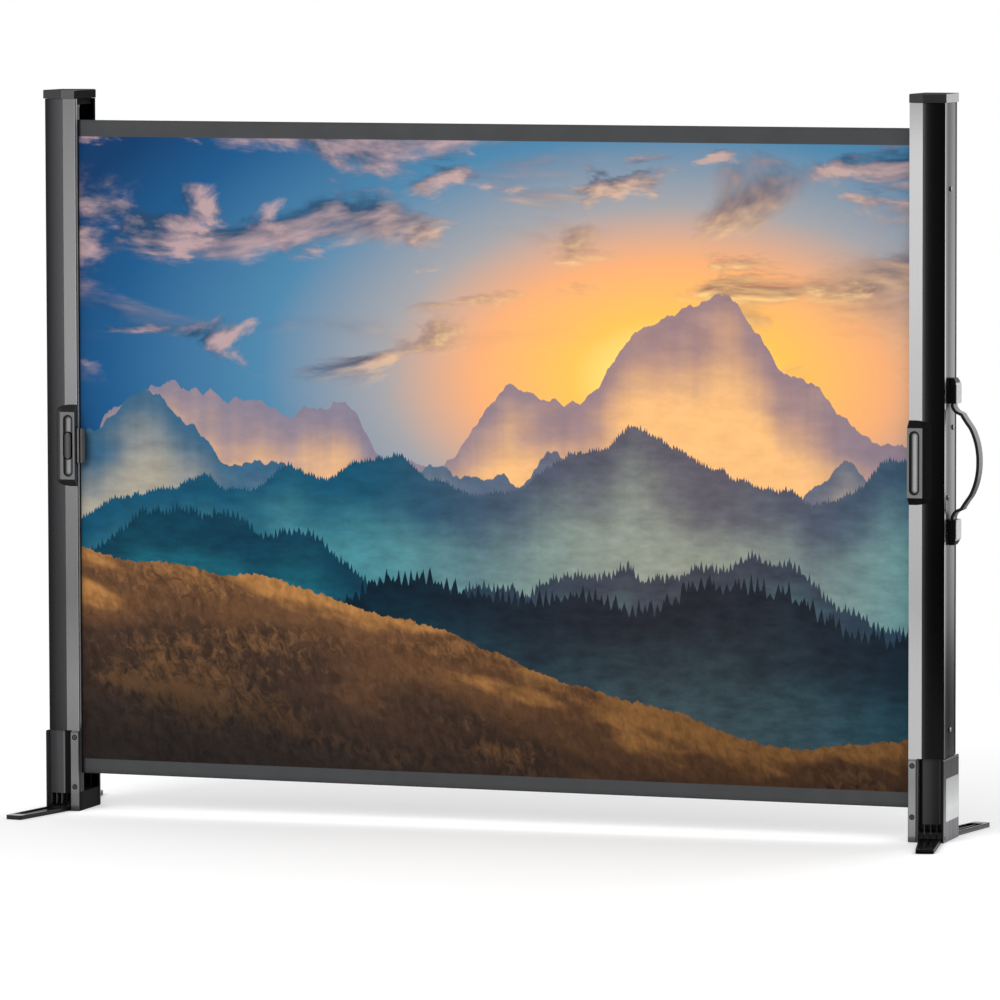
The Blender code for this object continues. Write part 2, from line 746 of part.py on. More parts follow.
def foot_outline(inset, start, end):
    """The foot's tapered plan between two distances from the pin, drawn in by an inset."""
    taper = (FOOT_ROOT_HALF - FOOT_TIP_HALF) / FOOT_LENGTH
    near = FOOT_ROOT_HALF - taper * start - inset
    far = FOOT_ROOT_HALF - taper * end - inset
    corner = max(FOOT_CORNER - inset, GAP)
    tip = arc((far - corner, -end + corner), corner, 0, -90, 3)
    left_tip = [(-x, y) for x, y in reversed(tip)]
    return [(near, -start), *tip, *left_tip, (-near, -start)]


def make_foot(column, place, facing):
    """A folding foot: a shallow tray with four knuckle fingers round its pin."""
    place_xyz, turn = foot_hinge(facing)
    name = f"{column.name}_{place}_foot"
    hinge = bpy.data.objects.new(name + "_hinge", None)
    hinge.parent = column.frame
    hinge.location = (column.side * place_xyz[0], place_xyz[1], place_xyz[2])
    hinge.rotation_euler.z = column.side * turn if facing > 0 else math.pi - column.side * SPLAY
    PARTS.objects.link(hinge)
    low = -PIN_HEIGHT
    high = low + FOOT_THICKNESS
    mesh = prism(foot_outline(0, FOOT_ROOT_START, FOOT_LENGTH), low, high)
    foot = add_piece(name, mesh, BLACK, hinge)
    tray_end = FOOT_LENGTH - FOOT_TIP_RIM
    tray = foot_outline(FOOT_RIM, FOOT_TRAY_START, tray_end)
    combine(foot, prism(tray, high - FOOT_TRAY_DEPTH, high + OVERRUN), hinge)
    rail_start = -FOOT_TRAY_START + GAP
    rail = [
        (-FOOT_RAIL / 2, rail_start),
        (FOOT_RAIL / 2, rail_start),
        (FOOT_RAIL / 2, -tray_end - GAP),
        (-FOOT_RAIL / 2, -tray_end - GAP),
    ]
    rail_top = high - FOOT_TRAY_DEPTH / 2
    combine(foot, prism(rail, low + FOOT_SKIN, rail_top), hinge, "UNION")
    half = (HINGE_PITCH - HINGE_RIB) / 2 - FINGER_PLAY
    for index in range(HINGE_RIBS + 1):
        middle = (index - HINGE_RIBS / 2) * HINGE_PITCH
        finger = prism_along_x(finger_outline(), middle - half, middle + half)
        combine(foot, finger, hinge, "UNION")
    reach = KNUCKLE_BAY_HALF + OVERRUN
    combine(foot, cylinder(PIN_RADIUS + GAP, -reach, reach, PIN_STEPS, "X"), hinge)
    end = KNUCKLE_BAY_HALF + PIN_SEAT
    pin = cylinder(PIN_RADIUS, -end, end, PIN_STEPS, "X")
    add_piece(name + "_pin", pin, STEEL, hinge)
    return foot


def make_plate(column, place, facing):
    """The light plate screwed over the strip, with its two countersunk holes."""
    back = HALF_DEPTH + GAP
    front = back + PLATE_THICKNESS
    low = PLATE_MARGIN
    high = BLOCK_HEIGHT - PLATE_MARGIN
    corner = (GAP + PLATE_WIDTH - PLATE_CORNER, high - PLATE_CORNER)
    outline = [(GAP, low), (GAP + PLATE_WIDTH, low), *arc(corner, PLATE_CORNER, 0, 90, 4), (GAP, high)]
    mesh = prism_along_y(outline, back, front)
    mesh.transform(Matrix.Diagonal((1, -facing, 1, 1)))
    plate = column.piece(f"{column.name}_{place}_plate", finish_mesh(mesh), GREY)
    middle = GAP + PLATE_WIDTH / 2
    for height in (PLATE_SCREW_LOW, BLOCK_HEIGHT - PLATE_SCREW_TOP_MARGIN):
        sink = turned(
            (
                (0, -OVERRUN),
                (PLATE_SCREW_RADIUS, -OVERRUN),
                (PLATE_SCREW_RADIUS, PLATE_THICKNESS / 3),
                (PLATE_SCREW_SINK, PLATE_THICKNESS + GAP),
                (0, PLATE_THICKNESS + GAP),
            ),
            PIN_STEPS,
            False,
        )
        tilt = Matrix.Rotation(facing * math.pi / 2, 4, "X")
        sink.transform(Matrix.Translation((middle, -facing * back, height)) @ tilt)
        column.cut(plate, sink)
    return plate


def closed_front():
    """The plan of the column's whole front, a gap larger, for cutting what sits on it."""
    outer = [(x, y - GAP) for x, y in cover_outline()[: COVER_STEPS + 1]]
    far = COLUMN_WIDTH + OVERRUN
    return [(-OVERRUN, 0), (-OVERRUN, -HALF_DEPTH - GAP), *outer, (far, outer[-1][1]), (far, 0)]


def grip_body():
    """The grip's sloping block, buried a little so that the column's front can trim it.

    Its base has rounded corners on the side away from the other column.
    """
    deep = (GRIP_PROUD + GRIP_BURY) / GRIP_PROUD
    base_width = GRIP_FACE_WIDTH + (GRIP_BASE_WIDTH - GRIP_FACE_WIDTH) * deep
    base_half = (GRIP_FACE_HEIGHT + (GRIP_BASE_HEIGHT - GRIP_FACE_HEIGHT) * deep) / 2
    middle_x = base_width - GRIP_CORNER_WIDTH
    middle_z = base_half - GRIP_CORNER_HEIGHT
    corner = [
        (middle_x + GRIP_CORNER_WIDTH * x, middle_z + GRIP_CORNER_HEIGHT * z)
        for x, z in arc((0, 0), 1, 0, 90, GRIP_CORNER_STEPS)
    ]
    base = [(x, -z) for x, z in reversed(corner)] + corner
    base = [(0, -base_half), *base, (0, base_half)]
    back = -HALF_DEPTH + GRIP_BURY
    face_half = GRIP_FACE_HEIGHT / 2
    face = [(0, -face_half), (GRIP_FACE_WIDTH, -face_half), (GRIP_FACE_WIDTH, face_half), (0, face_half)]
    points = [(x, back, GRIP_MIDDLE + z) for x, z in base]
    points += [(x, GRIP_FRONT, GRIP_MIDDLE + z) for x, z in face]
    count = len(base)
    turn = len(corner)
    faces = [tuple(reversed(range(count))), tuple(range(count, count + len(face)))]
    faces.append((0, 1, count + 1, count))
    faces += [(k, k + 1, count + 1) for k in range(1, turn)]
    faces.append((turn, turn + 1, count + 2, count + 1))
    faces += [(k, k + 1, count + 2) for k in range(turn + 1, 2 * turn)]
    faces.append((2 * turn, 2 * turn + 1, count + 3, count + 2))
    faces.append((2 * turn + 1, 0, count, count + 3))
    mesh = bpy.data.meshes.new("grip_body")
    mesh.from_pydata(points, [], faces)
    return finish_mesh(mesh)


def finger_scoop():
    """The long round-ended hollow in a grip's face: a capsule, flattened to its depth."""
    straight = SCOOP_HALF_HEIGHT - SCOOP_HALF_WIDTH
    top = arc((0, straight), SCOOP_HALF_WIDTH, 90, 0, SCOOP_END_STEPS)
    low = arc((0, -straight), SCOOP_HALF_WIDTH, 0, -90, SCOOP_END_STEPS)
    mesh = turned(top + low, SCOOP_STEPS, False)
    flat = Matrix.Diagonal((1, SCOOP_DEPTH / SCOOP_HALF_WIDTH, 1, 1))
    mesh.transform(Matrix.Translation((SCOOP_MIDDLE, GRIP_FRONT, GRIP_MIDDLE)) @ flat)
    return finish_mesh(mesh)


def make_grip(column):
    """A grip with its finger scoop, trimmed to the column's front."""
    grip = column.piece(column.name + "_grip", grip_body(), BLACK)
    column.cut(grip, prism(closed_front(), 0, COLUMN_HEIGHT))
    column.cut(grip, finger_scoop())
    return grip


def open_right_latch(column, grip, housing):
    """The slot for the hook in the right grip, and the window that its barb drops into."""
    front = LATCH_AXIS_Y - TAB_THICKNESS / 2 - TAB_SWING
    deep = TAB_REACH + LATCH_PLAY
    half = TAB_HALF + LATCH_PLAY
    column.cut(
        grip,
        box((-OVERRUN, front, GRIP_MIDDLE - half), (deep, 0, GRIP_MIDDLE + half)),
    )
    barrel = BARREL_HALF + LATCH_PLAY
    barrel_front = LATCH_AXIS_Y - BARREL_RADIUS - LATCH_PLAY
    column.cut(
        grip,
        box(
            (-OVERRUN, barrel_front, GRIP_MIDDLE - barrel),
            (BARREL_RADIUS / 2, 0, GRIP_MIDDLE + barrel),
        ),
    )
    window_end = TAB_REACH + LATCH_PLAY
    window_start = window_end - BARB_WIDTH - 4 * LATCH_PLAY
    column.cut(
        housing,
        box(
            (window_start, -HALF_DEPTH - OVERRUN, GRIP_MIDDLE - half),
            (window_end, -HALF_DEPTH + HOUSING_WALL + GAP, GRIP_MIDDLE + half),
        ),
    )


def open_left_latch(column, grip, housing):
    """The room for the latch in the left grip, and the window for its lever."""
    barrel = BARREL_HALF + LATCH_PLAY
    front = GRIP_FRONT + SCOOP_DEPTH + LATCH_ROOM_WALL
    column.cut(
        grip,
        box((-OVERRUN, front, GRIP_MIDDLE - barrel), (LATCH_ROOM_X, 0, GRIP_MIDDLE + barrel)),
    )
    guide = stadium(
        BUTTON_MIDDLE, BUTTON_HALF_WIDTH + RUNNING_GAP, BUTTON_HALF_HEIGHT + RUNNING_GAP
    )
    column.cut(grip, prism_along_y(guide, GRIP_FRONT - OVERRUN, front + GAP))
    end = BARREL_HALF + LATCH_PIN_END + GAP
    bore = cylinder(LATCH_PIN_RADIUS + GAP, GRIP_MIDDLE - end, GRIP_MIDDLE + end, BARREL_STEPS)
    bore.transform(Matrix.Translation((LATCH_AXIS_X, LATCH_AXIS_Y, 0)))
    column.cut(grip, bore)
    half = LEVER_HALF + LATCH_PLAY
    column.cut(
        housing,
        box(
            (LEVER_WINDOW_START, -HALF_DEPTH - OVERRUN, GRIP_MIDDLE - half),
            (LEVER_WINDOW_END, -HALF_DEPTH + 2 * HOUSING_WALL, GRIP_MIDDLE + half),
        ),
    )


def make_hook(column):
    """The latch hook: a barrel on its pin, a tab with a barb, and the lever inside."""
    hinge = bpy.data.objects.new("latch_hinge", None)
    hinge.parent = column.frame
    hinge.location = (column.side * LATCH_AXIS_X, LATCH_AXIS_Y, GRIP_MIDDLE)
    PARTS.objects.link(hinge)
    barrel = cylinder(BARREL_RADIUS, -BARREL_HALF, BARREL_HALF, BARREL_STEPS)
    hook = add_piece("latch_hook", barrel, BLACK, hinge)
    tip = LATCH_AXIS_X + TAB_REACH
    tab = [
        (0, TAB_HALF),
        (tip - TAB_CORNER, TAB_HALF),
        (tip, TAB_HALF - TAB_CORNER),
        (tip, -TAB_HALF + TAB_CORNER),
        (tip - TAB_CORNER, -TAB_HALF),
        (0, -TAB_HALF),
    ]
    combine(hook, prism_along_y(tab, -TAB_THICKNESS / 2, TAB_THICKNESS / 2), hinge, "UNION")
    barb_half = TAB_HALF - TAB_CORNER
    barb = box(
        (tip - BARB_WIDTH, 0, -barb_half),
        (tip - GAP, TAB_THICKNESS / 2 + BARB_DROP, barb_half),
    )
    combine(hook, barb, hinge, "UNION")
    lever = box((-LEVER_REACH, 0, -LEVER_HALF), (0, TAB_THICKNESS, LEVER_HALF))
    combine(hook, lever, hinge, "UNION")
    reach = BARREL_HALF + OVERRUN
    combine(hook, cylinder(LATCH_PIN_RADIUS + GAP, -reach, reach, BARREL_STEPS), hinge)
    end = BARREL_HALF + LATCH_PIN_END
    add_piece("latch_pin", cylinder(LATCH_PIN_RADIUS, -end, end, BARREL_STEPS), STEEL, hinge)
    return hook


def make_button(column):
    """The push button in the left grip, with the flange that keeps it in."""
    room_front = GRIP_FRONT + SCOOP_DEPTH + LATCH_ROOM_WALL
    flange_front = room_front + GAP
    flange_back = flange_front + BUTTON_FLANGE_THICKNESS
    front = GRIP_FRONT + BUTTON_SINK
    outline = stadium(BUTTON_MIDDLE, BUTTON_HALF_WIDTH, BUTTON_HALF_HEIGHT)
    mesh = prism_along_y(outline, front, flange_back - GAP)
    edge = front + BUTTON_EDGE / 2
    mesh = bevel_edges(mesh, lambda a, b: max(a.y, b.y) < edge, BUTTON_EDGE, 2)
    button = column.piece("latch_button", mesh, BLACK)
    flange = stadium(BUTTON_MIDDLE, BUTTON_HALF_WIDTH, BUTTON_HALF_HEIGHT + BUTTON_FLANGE)
    column.cut(button, prism_along_y(flange, flange_front, flange_back), "UNION")
    nose_start = (flange_front + flange_back) / 2
    nose = box(
        (BUTTON_NOSE_START, nose_start, GRIP_MIDDLE - BUTTON_NOSE_HALF),
        (BUTTON_NOSE_START + BUTTON_NOSE_WIDTH, LATCH_AXIS_Y - GAP, GRIP_MIDDLE + BUTTON_NOSE_HALF),
    )
    column.cut(button, nose, "UNION")
    return button


def make_latch_spring(column):
    """The small spring behind the lever, and the U-shaped seat that backs it."""
    strip_back = -HALF_DEPTH + HOUSING_WALL + GAP
    back = -HALF_DEPTH + SPRING_SEAT_DEPTH + SPRING_SEAT_WALL
    plate_front = -HALF_DEPTH + SPRING_SEAT_DEPTH
    half = LEVER_HALF + 2 * LATCH_PLAY + SPRING_SEAT_LEG
    inner = half - SPRING_SEAT_LEG
    outline = [
        (strip_back, GRIP_MIDDLE - half),
        (back, GRIP_MIDDLE - half),
        (back, GRIP_MIDDLE + half),
        (strip_back, GRIP_MIDDLE + half),
        (strip_back, GRIP_MIDDLE + inner),
        (plate_front, GRIP_MIDDLE + inner),
        (plate_front, GRIP_MIDDLE - inner),
        (strip_back, GRIP_MIDDLE - inner),
    ]
    seat = prism_along_x(outline, SPRING_SEAT_START, SPRING_SEAT_END)
    column.piece("latch_spring_seat", seat, STEEL)
    start = LATCH_AXIS_Y + TAB_THICKNESS + GAP
    end = plate_front - GAP
    mesh = coil(LATCH_SPRING_RADIUS, LATCH_SPRING_WIRE, -end, -start, LATCH_SPRING_TURNS)
    tilt = Matrix.Rotation(math.pi / 2, 4, "X")
    mesh.transform(Matrix.Translation((SCOOP_MIDDLE, 0, GRIP_MIDDLE)) @ tilt)
    return column.piece("latch_spring", mesh, STEEL)


def make_handle_end(column, name, upward):
    """One end of the carry handle: a block that tapers away from the strap."""
    start = COLUMN_WIDTH + GAP
    outer = HANDLE_OVERALL / 2
    inner = outer - HANDLE_END_HEIGHT
    taper = outer - HANDLE_TAPER_HEIGHT
    mesh = box(
        (start, -HANDLE_END_HALF, inner), (start + HANDLE_END_REACH, HANDLE_END_HALF, taper)
    )
    shape = bmesh.new()
    shape.from_mesh(mesh)
    top = max(shape.faces, key=lambda face: face.calc_center_median().z)
    grown = bmesh.ops.extrude_face_region(shape, geom=[top])["geom"]
    bmesh.ops.delete(shape, geom=[top], context="FACES")
    for vert in [item for item in grown if isinstance(item, bmesh.types.BMVert)]:
        vert.co.z = outer
        vert.co.y -= math.copysign(HANDLE_TAPER_SIDE, vert.co.y)
        if vert.co.x > start + HANDLE_END_REACH / 2:
            vert.co.x -= HANDLE_TAPER_REACH
    shape.to_mesh(mesh)
    shape.free()
    mesh.transform(Matrix.Diagonal((1, 1, upward, 1)))
    mesh.transform(Matrix.Translation((0, 0, GRIP_MIDDLE)))
    finish_mesh(mesh)
    outermost = start + HANDLE_END_REACH - GAP
    mesh = bevel_edges(
        mesh, lambda a, b: min(a.x, b.x) > outermost and abs((a - b).z) > GAP, BUTTON_EDGE, 2
    )
    return column.piece(name, mesh, BLACK)


def smooth_points(points, steps):
    """Points on a smooth curve through the given ones."""
    result = []
    for index in range(len(points) - 1):
        before = points[max(index - 1, 0)]
        start, end = points[index], points[index + 1]
        after = points[min(index + 2, len(points) - 1)]
        for step in range(steps):
            t = step / steps
            result.append(
                tuple(
                    0.5 * (2 * b + (c - a) * t + (2 * a - 5 * b + 4 * c - d) * t * t + (3 * b - a - 3 * c + d) * t**3)
                    for a, b, c, d in zip(before, start, end, after)
                )
            )
    return result + [points[-1]]


def ribbon(path, thickness):
    """A closed outline of even thickness about a path."""
    sides = ([], [])
    for index, (x, z) in enumerate(path):
        before = path[max(index - 1, 0)]
        after = path[min(index + 1, len(path) - 1)]
        run, rise = after[0] - before[0], after[1] - before[1]
        length = math.hypot(run, rise)
        across = (-rise / length * thickness / 2, run / length * thickness / 2)
        sides[0].append((x + across[0], z + across[1]))
        sides[1].append((x - across[0], z - across[1]))
    return sides[0] + sides[1][::-1]


def make_strap(column):
    """The flexible strap, bowed out between the handle's two ends."""
    half = HANDLE_OVERALL / 2 - HANDLE_END_HEIGHT - GAP
    upper = [(COLUMN_WIDTH + STRAP_RISE * out, half * up) for out, up in STRAP_SHARES]
    lower = [(x, -z) for x, z in reversed(upper[:-1])]
    path = [(x, GRIP_MIDDLE + z) for x, z in smooth_points(upper + lower, STRAP_STEPS)]
    mesh = prism_along_y(ribbon(path, STRAP_THICKNESS), -STRAP_HALF_WIDTH, STRAP_HALF_WIDTH)
    return column.piece("handle_strap", mesh, RUBBER)


def on_roller(mesh):
    """Moves a mesh made about Z to the roller's axis in the right column."""
    mesh.transform(Matrix.Translation((ROLLER_X, ROLLER_Y, 0)))
    return mesh


def ring_profile(inner, outer, low, high):
    """The section of a plain ring."""
    return ((inner, high), (outer, high), (outer, low), (inner, low))


def make_roller(column):
    """The roller: its tube, the plugs in its ends, and the plug that the spring drives."""
    axle = bpy.data.objects.new("roller_axis", None)
    axle.parent = column.frame
    axle.location = (ROLLER_X, ROLLER_Y, 0)
    PARTS.objects.link(axle)
    inside = TUBE_RADIUS - TUBE_WALL
    fit = inside - GAP
    flange = TUBE_RADIUS + PLUG_FLANGE_PROUD
    bore = MANDREL_RADIUS + RUNNING_GAP
    tube = turned(ring_profile(inside, TUBE_RADIUS, TUBE_LOW, TUBE_HIGH), TUBE_STEPS, True)
    add_piece("roller_tube", tube, SILVER, axle)
    top = TUBE_HIGH + GAP + PLUG_FLANGE
    top_plug = (
        (0, top + JOURNAL_LENGTH),
        (JOURNAL_RADIUS, top + JOURNAL_LENGTH),
        (JOURNAL_RADIUS, top),
        (flange, top),
        (flange, TUBE_HIGH + GAP),
        (fit, TUBE_HIGH + GAP),
        (fit, TUBE_HIGH - PLUG_LENGTH),
        (0, TUBE_HIGH - PLUG_LENGTH),
    )
    add_piece("roller_top_plug", turned(top_plug, TUBE_STEPS, False), WHITE_PLASTIC, axle)
    low = TUBE_LOW - GAP
    low_plug = (
        (bore, low + PLUG_LENGTH),
        (fit, low + PLUG_LENGTH),
        (fit, low),
        (flange, low),
        (flange, low - PLUG_FLANGE),
        (bore, low - PLUG_FLANGE),
    )
    add_piece("roller_bottom_plug", turned(low_plug, TUBE_STEPS, True), WHITE_PLASTIC, axle)
    drive_low = collar_top() + SPRING_LENGTH + GAP
    drive = ring_profile(bore, fit, drive_low, drive_low + PLUG_LENGTH)
    add_piece("spring_drive_plug", turned(drive, TUBE_STEPS, True), WHITE_PLASTIC, axle)
    return axle


def collar_top():
    """The height of the mandrel's collar, on which the spring stands."""
    return TUBE_LOW + PLUG_LENGTH + GAP + COLLAR_THICKNESS


def make_spring(column):
    """The fixed mandrel with its collar, and the long spring wound round it."""
    low = FLOOR_HEIGHT + GAP
    collar = collar_top()
    high = collar + SPRING_LENGTH + PLUG_LENGTH + MANDREL_OVERHANG
    profile = (
        (0, high),
        (MANDREL_RADIUS, high),
        (MANDREL_RADIUS, collar),
        (COLLAR_RADIUS, collar),
        (COLLAR_RADIUS, collar - COLLAR_THICKNESS),
        (MANDREL_RADIUS, collar - COLLAR_THICKNESS),
        (MANDREL_RADIUS, low),
        (0, low),
    )
    column.piece("spring_mandrel", on_roller(turned(profile, BORE_STEPS, False)), STEEL)
    spring = coil(SPRING_RADIUS, SPRING_WIRE, collar + GAP, collar + SPRING_LENGTH, SPRING_TURNS)
    column.piece("roller_spring", on_roller(spring), STEEL)


def make_bracket(column, name, low, high, bore):
    """A block that carries one end of the roller."""
    half = BRACKET_HALF
    mesh = box((-half, -half, low), (half, half, high))
    mesh = bevel_edges(mesh, lambda a, b: abs((a - b).z) > GAP, BRACKET_EDGE, 2)
    bracket = column.piece(name, on_roller(mesh), WHITE_PLASTIC)
    hole = cylinder(bore, low - OVERRUN, high + OVERRUN, BORE_STEPS)
    column.cut(bracket, on_roller(hole))
    return bracket


def make_brackets(column):
    """The two brackets: on the block's floor, and under the cap's plug."""
    low = FLOOR_HEIGHT + GAP
    bore = MANDREL_RADIUS + GAP
    make_bracket(column, "roller_bottom_bracket", low, low + BRACKET_HEIGHT, bore)
    high = CAP_PLUG_LOW - GAP
    bore = JOURNAL_RADIUS + RUNNING_GAP
    make_bracket(column, "roller_top_bracket", high - BRACKET_HEIGHT, high, bore)


def make_fabric_roll(axle):
    """What stays wound on the roller: a spiral that ends at the roller's front."""
    inner, outer = [], []
    count = round(ROLL_TURNS * ROLL_STEPS)
    for index in range(count + 1):
        turns = index / ROLL_STEPS
        angle = -math.pi / 2 + 2 * math.pi * turns
        radius = ROLL_RADIUS - ROLL_PITCH * turns
        outer.append((radius * math.cos(angle), radius * math.sin(angle)))
        radius -= FABRIC_THICKNESS
        inner.append((radius * math.cos(angle), radius * math.sin(angle)))
    mesh = prism(outer + inner[::-1], FABRIC_LOW, FABRIC_HIGH)
    print("least gap between turns of fabric, mm:", round((ROLL_PITCH - FABRIC_THICKNESS) / MM, 2))
    return add_piece("fabric_roll", mesh, WHITE_FABRIC, axle)


def make_fabric(right, left):
    """The stretched fabric, from the roller's front to the left column's clamp."""
    start = right.parting_x + ROLLER_X
    end = left.parting_x - CLAMP_START - FABRIC_TUCK
    mesh = box((end, FABRIC_FRONT, FABRIC_LOW), (start, FABRIC_BACK, FABRIC_HIGH))
    return add_piece("screen_fabric", mesh, WHITE_FABRIC, None)


def make_clamp(column):
    """The bar and jaw that hold the fabric's edge, and the tip that locates the bar."""
    end = CLAMP_START + CLAMP_WIDTH
    bar_front = FABRIC_BACK + GAP
    bar_back = bar_front + CLAMP_BAR_DEPTH
    tip_high = CAP_PLUG_LOW - GAP
    tip_low = tip_high - CLAMP_TIP_HEIGHT
    bar = box((CLAMP_START, bar_front, FLOOR_HEIGHT + GAP), (end, bar_back, tip_low - GAP))
    column.piece("clamp_bar", bar, GREY)
    jaw_back = FABRIC_FRONT - GAP
    jaw_front = jaw_back - CLAMP_JAW_DEPTH
    jaw = box((CLAMP_START, jaw_front, FABRIC_LOW), (end, jaw_back, FABRIC_HIGH))
    column.piece("clamp_jaw", jaw, GREY)
    tip = box(
        (CLAMP_START, bar_front - CLAMP_TIP_MARGIN, tip_low),
        (end + CLAMP_TIP_MARGIN, bar_back + CLAMP_TIP_MARGIN, tip_high),
    )
    column.piece("clamp_top_clip", tip, BLACK)


def make_column(column):
    """What both columns have."""
    housing = make_housing(column)
    grip = make_grip(column)
    make_cap(column)
    make_block(column)
    for place, facing in (("front", 1), ("back", -1)):
        make_cover(column, place, facing)
        make_plate(column, place, facing)
        make_foot(column, place, facing)
    return housing, grip


def make_right_column():
    """The roller column, with the carry handle on its side."""
    column = Column("right", 1, -BLOCK_WIDTH / 2)
    housing, grip = make_column(column)
    open_right_latch(column, grip, housing)
    make_handle_end(column, "handle_upper_end", 1)
    make_handle_end(column, "handle_lower_end", -1)
    make_strap(column)
    make_brackets(column)
    make_spring(column)
    make_fabric_roll(make_roller(column))
    return column


def make_left_column():
    """The column that is pulled away, with the latch in its grip."""
    column = Column("left", -1, -BLOCK_WIDTH / 2 - OPENING)
    housing, grip = make_column(column)
    open_left_latch(column, grip, housing)
    make_hook(column)
    make_button(column)
    make_latch_spring(column)
    make_clamp(column)
    return column


def smooth_round_pieces():
    """Shades the faces of every piece smooth across its gentle edges."""
    for obj in PARTS.objects:
        if obj.type == "MESH":
            obj.data.shade_smooth()
            obj.data.set_sharp_from_angle(angle=math.radians(SMOOTH_DEGREES))


clear_scene()
PARTS = make_collection("tabletop_projection_screen")
CUTTERS = make_collection("cutters")
SILVER = make_material("anodised_aluminium", (0.55, 0.55, 0.56), 0.35, 0.9)
GREY = make_material("grey_plate", (0.3, 0.3, 0.31), 0.45, 0.6)
BLACK = make_material("black_plastic", (0.02, 0.02, 0.022), 0.5, 0.0)
GLOSS_BLACK = make_material("gloss_black_cover", (0.008, 0.008, 0.009), 0.25, 0.0)
RUBBER = make_material("black_rubber", (0.02, 0.02, 0.02), 0.65, 0.0)
STEEL = make_material("steel", (0.5, 0.5, 0.5), 0.3, 1.0)
WHITE_PLASTIC = make_material("white_plastic", (0.75, 0.75, 0.72), 0.5, 0.0)
WHITE_FABRIC = make_material("matte_white_fabric", (0.85, 0.85, 0.85), 0.9, 0.0)

RIGHT = make_right_column()
LEFT = make_left_column()
make_fabric(RIGHT, LEFT)
smooth_round_pieces()
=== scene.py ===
"""Dresses a pull-apart tabletop projection screen and sets it in a pale studio.

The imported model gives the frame: two columns, their bases, feet, grips, latch and
roller, in metres, with +Z up and the front towards -Y. This script gives each of
those pieces its finish, and adds the cloths, the strap, the screws and the plate.
"""

import json
import logging
import math
from dataclasses import dataclass, field
from enum import Enum
from typing import Callable, Optional, Union

import bmesh
import bpy
import numpy as np
from mathutils import Matrix, Vector


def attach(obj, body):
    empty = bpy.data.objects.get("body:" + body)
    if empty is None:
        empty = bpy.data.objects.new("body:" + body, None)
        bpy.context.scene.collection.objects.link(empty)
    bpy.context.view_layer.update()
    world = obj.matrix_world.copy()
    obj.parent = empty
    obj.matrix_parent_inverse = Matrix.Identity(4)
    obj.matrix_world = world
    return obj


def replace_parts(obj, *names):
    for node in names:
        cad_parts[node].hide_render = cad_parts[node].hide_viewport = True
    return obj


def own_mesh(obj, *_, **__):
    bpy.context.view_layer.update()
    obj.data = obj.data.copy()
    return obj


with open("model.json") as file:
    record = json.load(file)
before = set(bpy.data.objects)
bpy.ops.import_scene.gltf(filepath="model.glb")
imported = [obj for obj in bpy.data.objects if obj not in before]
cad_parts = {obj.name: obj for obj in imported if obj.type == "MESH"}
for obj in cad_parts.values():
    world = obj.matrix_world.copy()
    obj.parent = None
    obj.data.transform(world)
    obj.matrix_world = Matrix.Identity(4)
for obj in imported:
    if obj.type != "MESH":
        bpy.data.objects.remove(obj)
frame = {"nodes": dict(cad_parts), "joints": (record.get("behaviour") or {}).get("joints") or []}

LOG = logging.getLogger("projection_screen")
MM = 0.001

# World x of each column's parting face, where the two columns meet when closed
RIGHT_PARTING_X = -21.75 * MM
LEFT_PARTING_X = -1071.75 * MM
# How far the left column travels to close, as the slide's joint has it
SLIDE_TRAVEL = next(j["range_m"][1] for j in frame["joints"] if j["name"] == "column_slide")

Pairs = tuple[tuple[float, float], ...]


def pairs(unit: float, *given: tuple[float, float]) -> Pairs:
    """Pairs of numbers, the first of each turned into metres from its unit."""
    return tuple((first * unit, second) for first, second in given)


# Node trees


class Signal:
    """One output of a material's node tree, with sums written as they are on paper."""

    def __init__(self, graph: "Graph", socket: bpy.types.NodeSocket) -> None:
        """Keeps the tree and the socket."""
        self.graph = graph
        self.socket = socket

    def __add__(self, other: "Number") -> "Signal":
        """The sum of both."""
        return self.graph.math("ADD", self, other)

    def __radd__(self, other: "Number") -> "Signal":
        """The sum of both."""
        return self.graph.math("ADD", other, self)

    def __sub__(self, other: "Number") -> "Signal":
        """This less the other."""
        return self.graph.math("SUBTRACT", self, other)

    def __rsub__(self, other: "Number") -> "Signal":
        """The other less this."""
        return self.graph.math("SUBTRACT", other, self)

    def __mul__(self, other: "Number") -> "Signal":
        """The product of both."""
        return self.graph.math("MULTIPLY", self, other)

    def __rmul__(self, other: "Number") -> "Signal":
        """The product of both."""
        return self.graph.math("MULTIPLY", other, self)

    def __truediv__(self, other: "Number") -> "Signal":
        """This over the other."""
        return self.graph.math("DIVIDE", self, other)

    def power(self, exponent: float) -> "Signal":
        """This to a power."""
        return self.graph.math("POWER", self, exponent)

    def __abs__(self) -> "Signal":
        """This without its sign."""
        return self.graph.math("ABSOLUTE", self)

    def clamped(self) -> "Signal":
        """This, held between nought and one."""
        made = self.graph.math("ADD", self, 0.0)
        made.socket.node.use_clamp = True
        return made


Number = Union[Signal, float]
Pose = tuple[float, float, float]
Colour = tuple[float, float, float]
Paint = Union[Signal, Colour]


def shade(red: int, green: int, blue: int) -> Colour:
    """A colour as a screen writes it, turned into the linear one that nodes take.

    Args:
        red: red, from 0 to 255.
        green: green, from 0 to 255.
        blue: blue, from 0 to 255.

    Returns:
        The three linear values, each from 0 to 1.
    """
    values = np.array((red, green, blue)) / 255
    linear = np.where(values <= 0.04045, values / 12.92, ((values + 0.055) / 1.055) ** 2.4)
    return tuple(float(v) for v in linear)


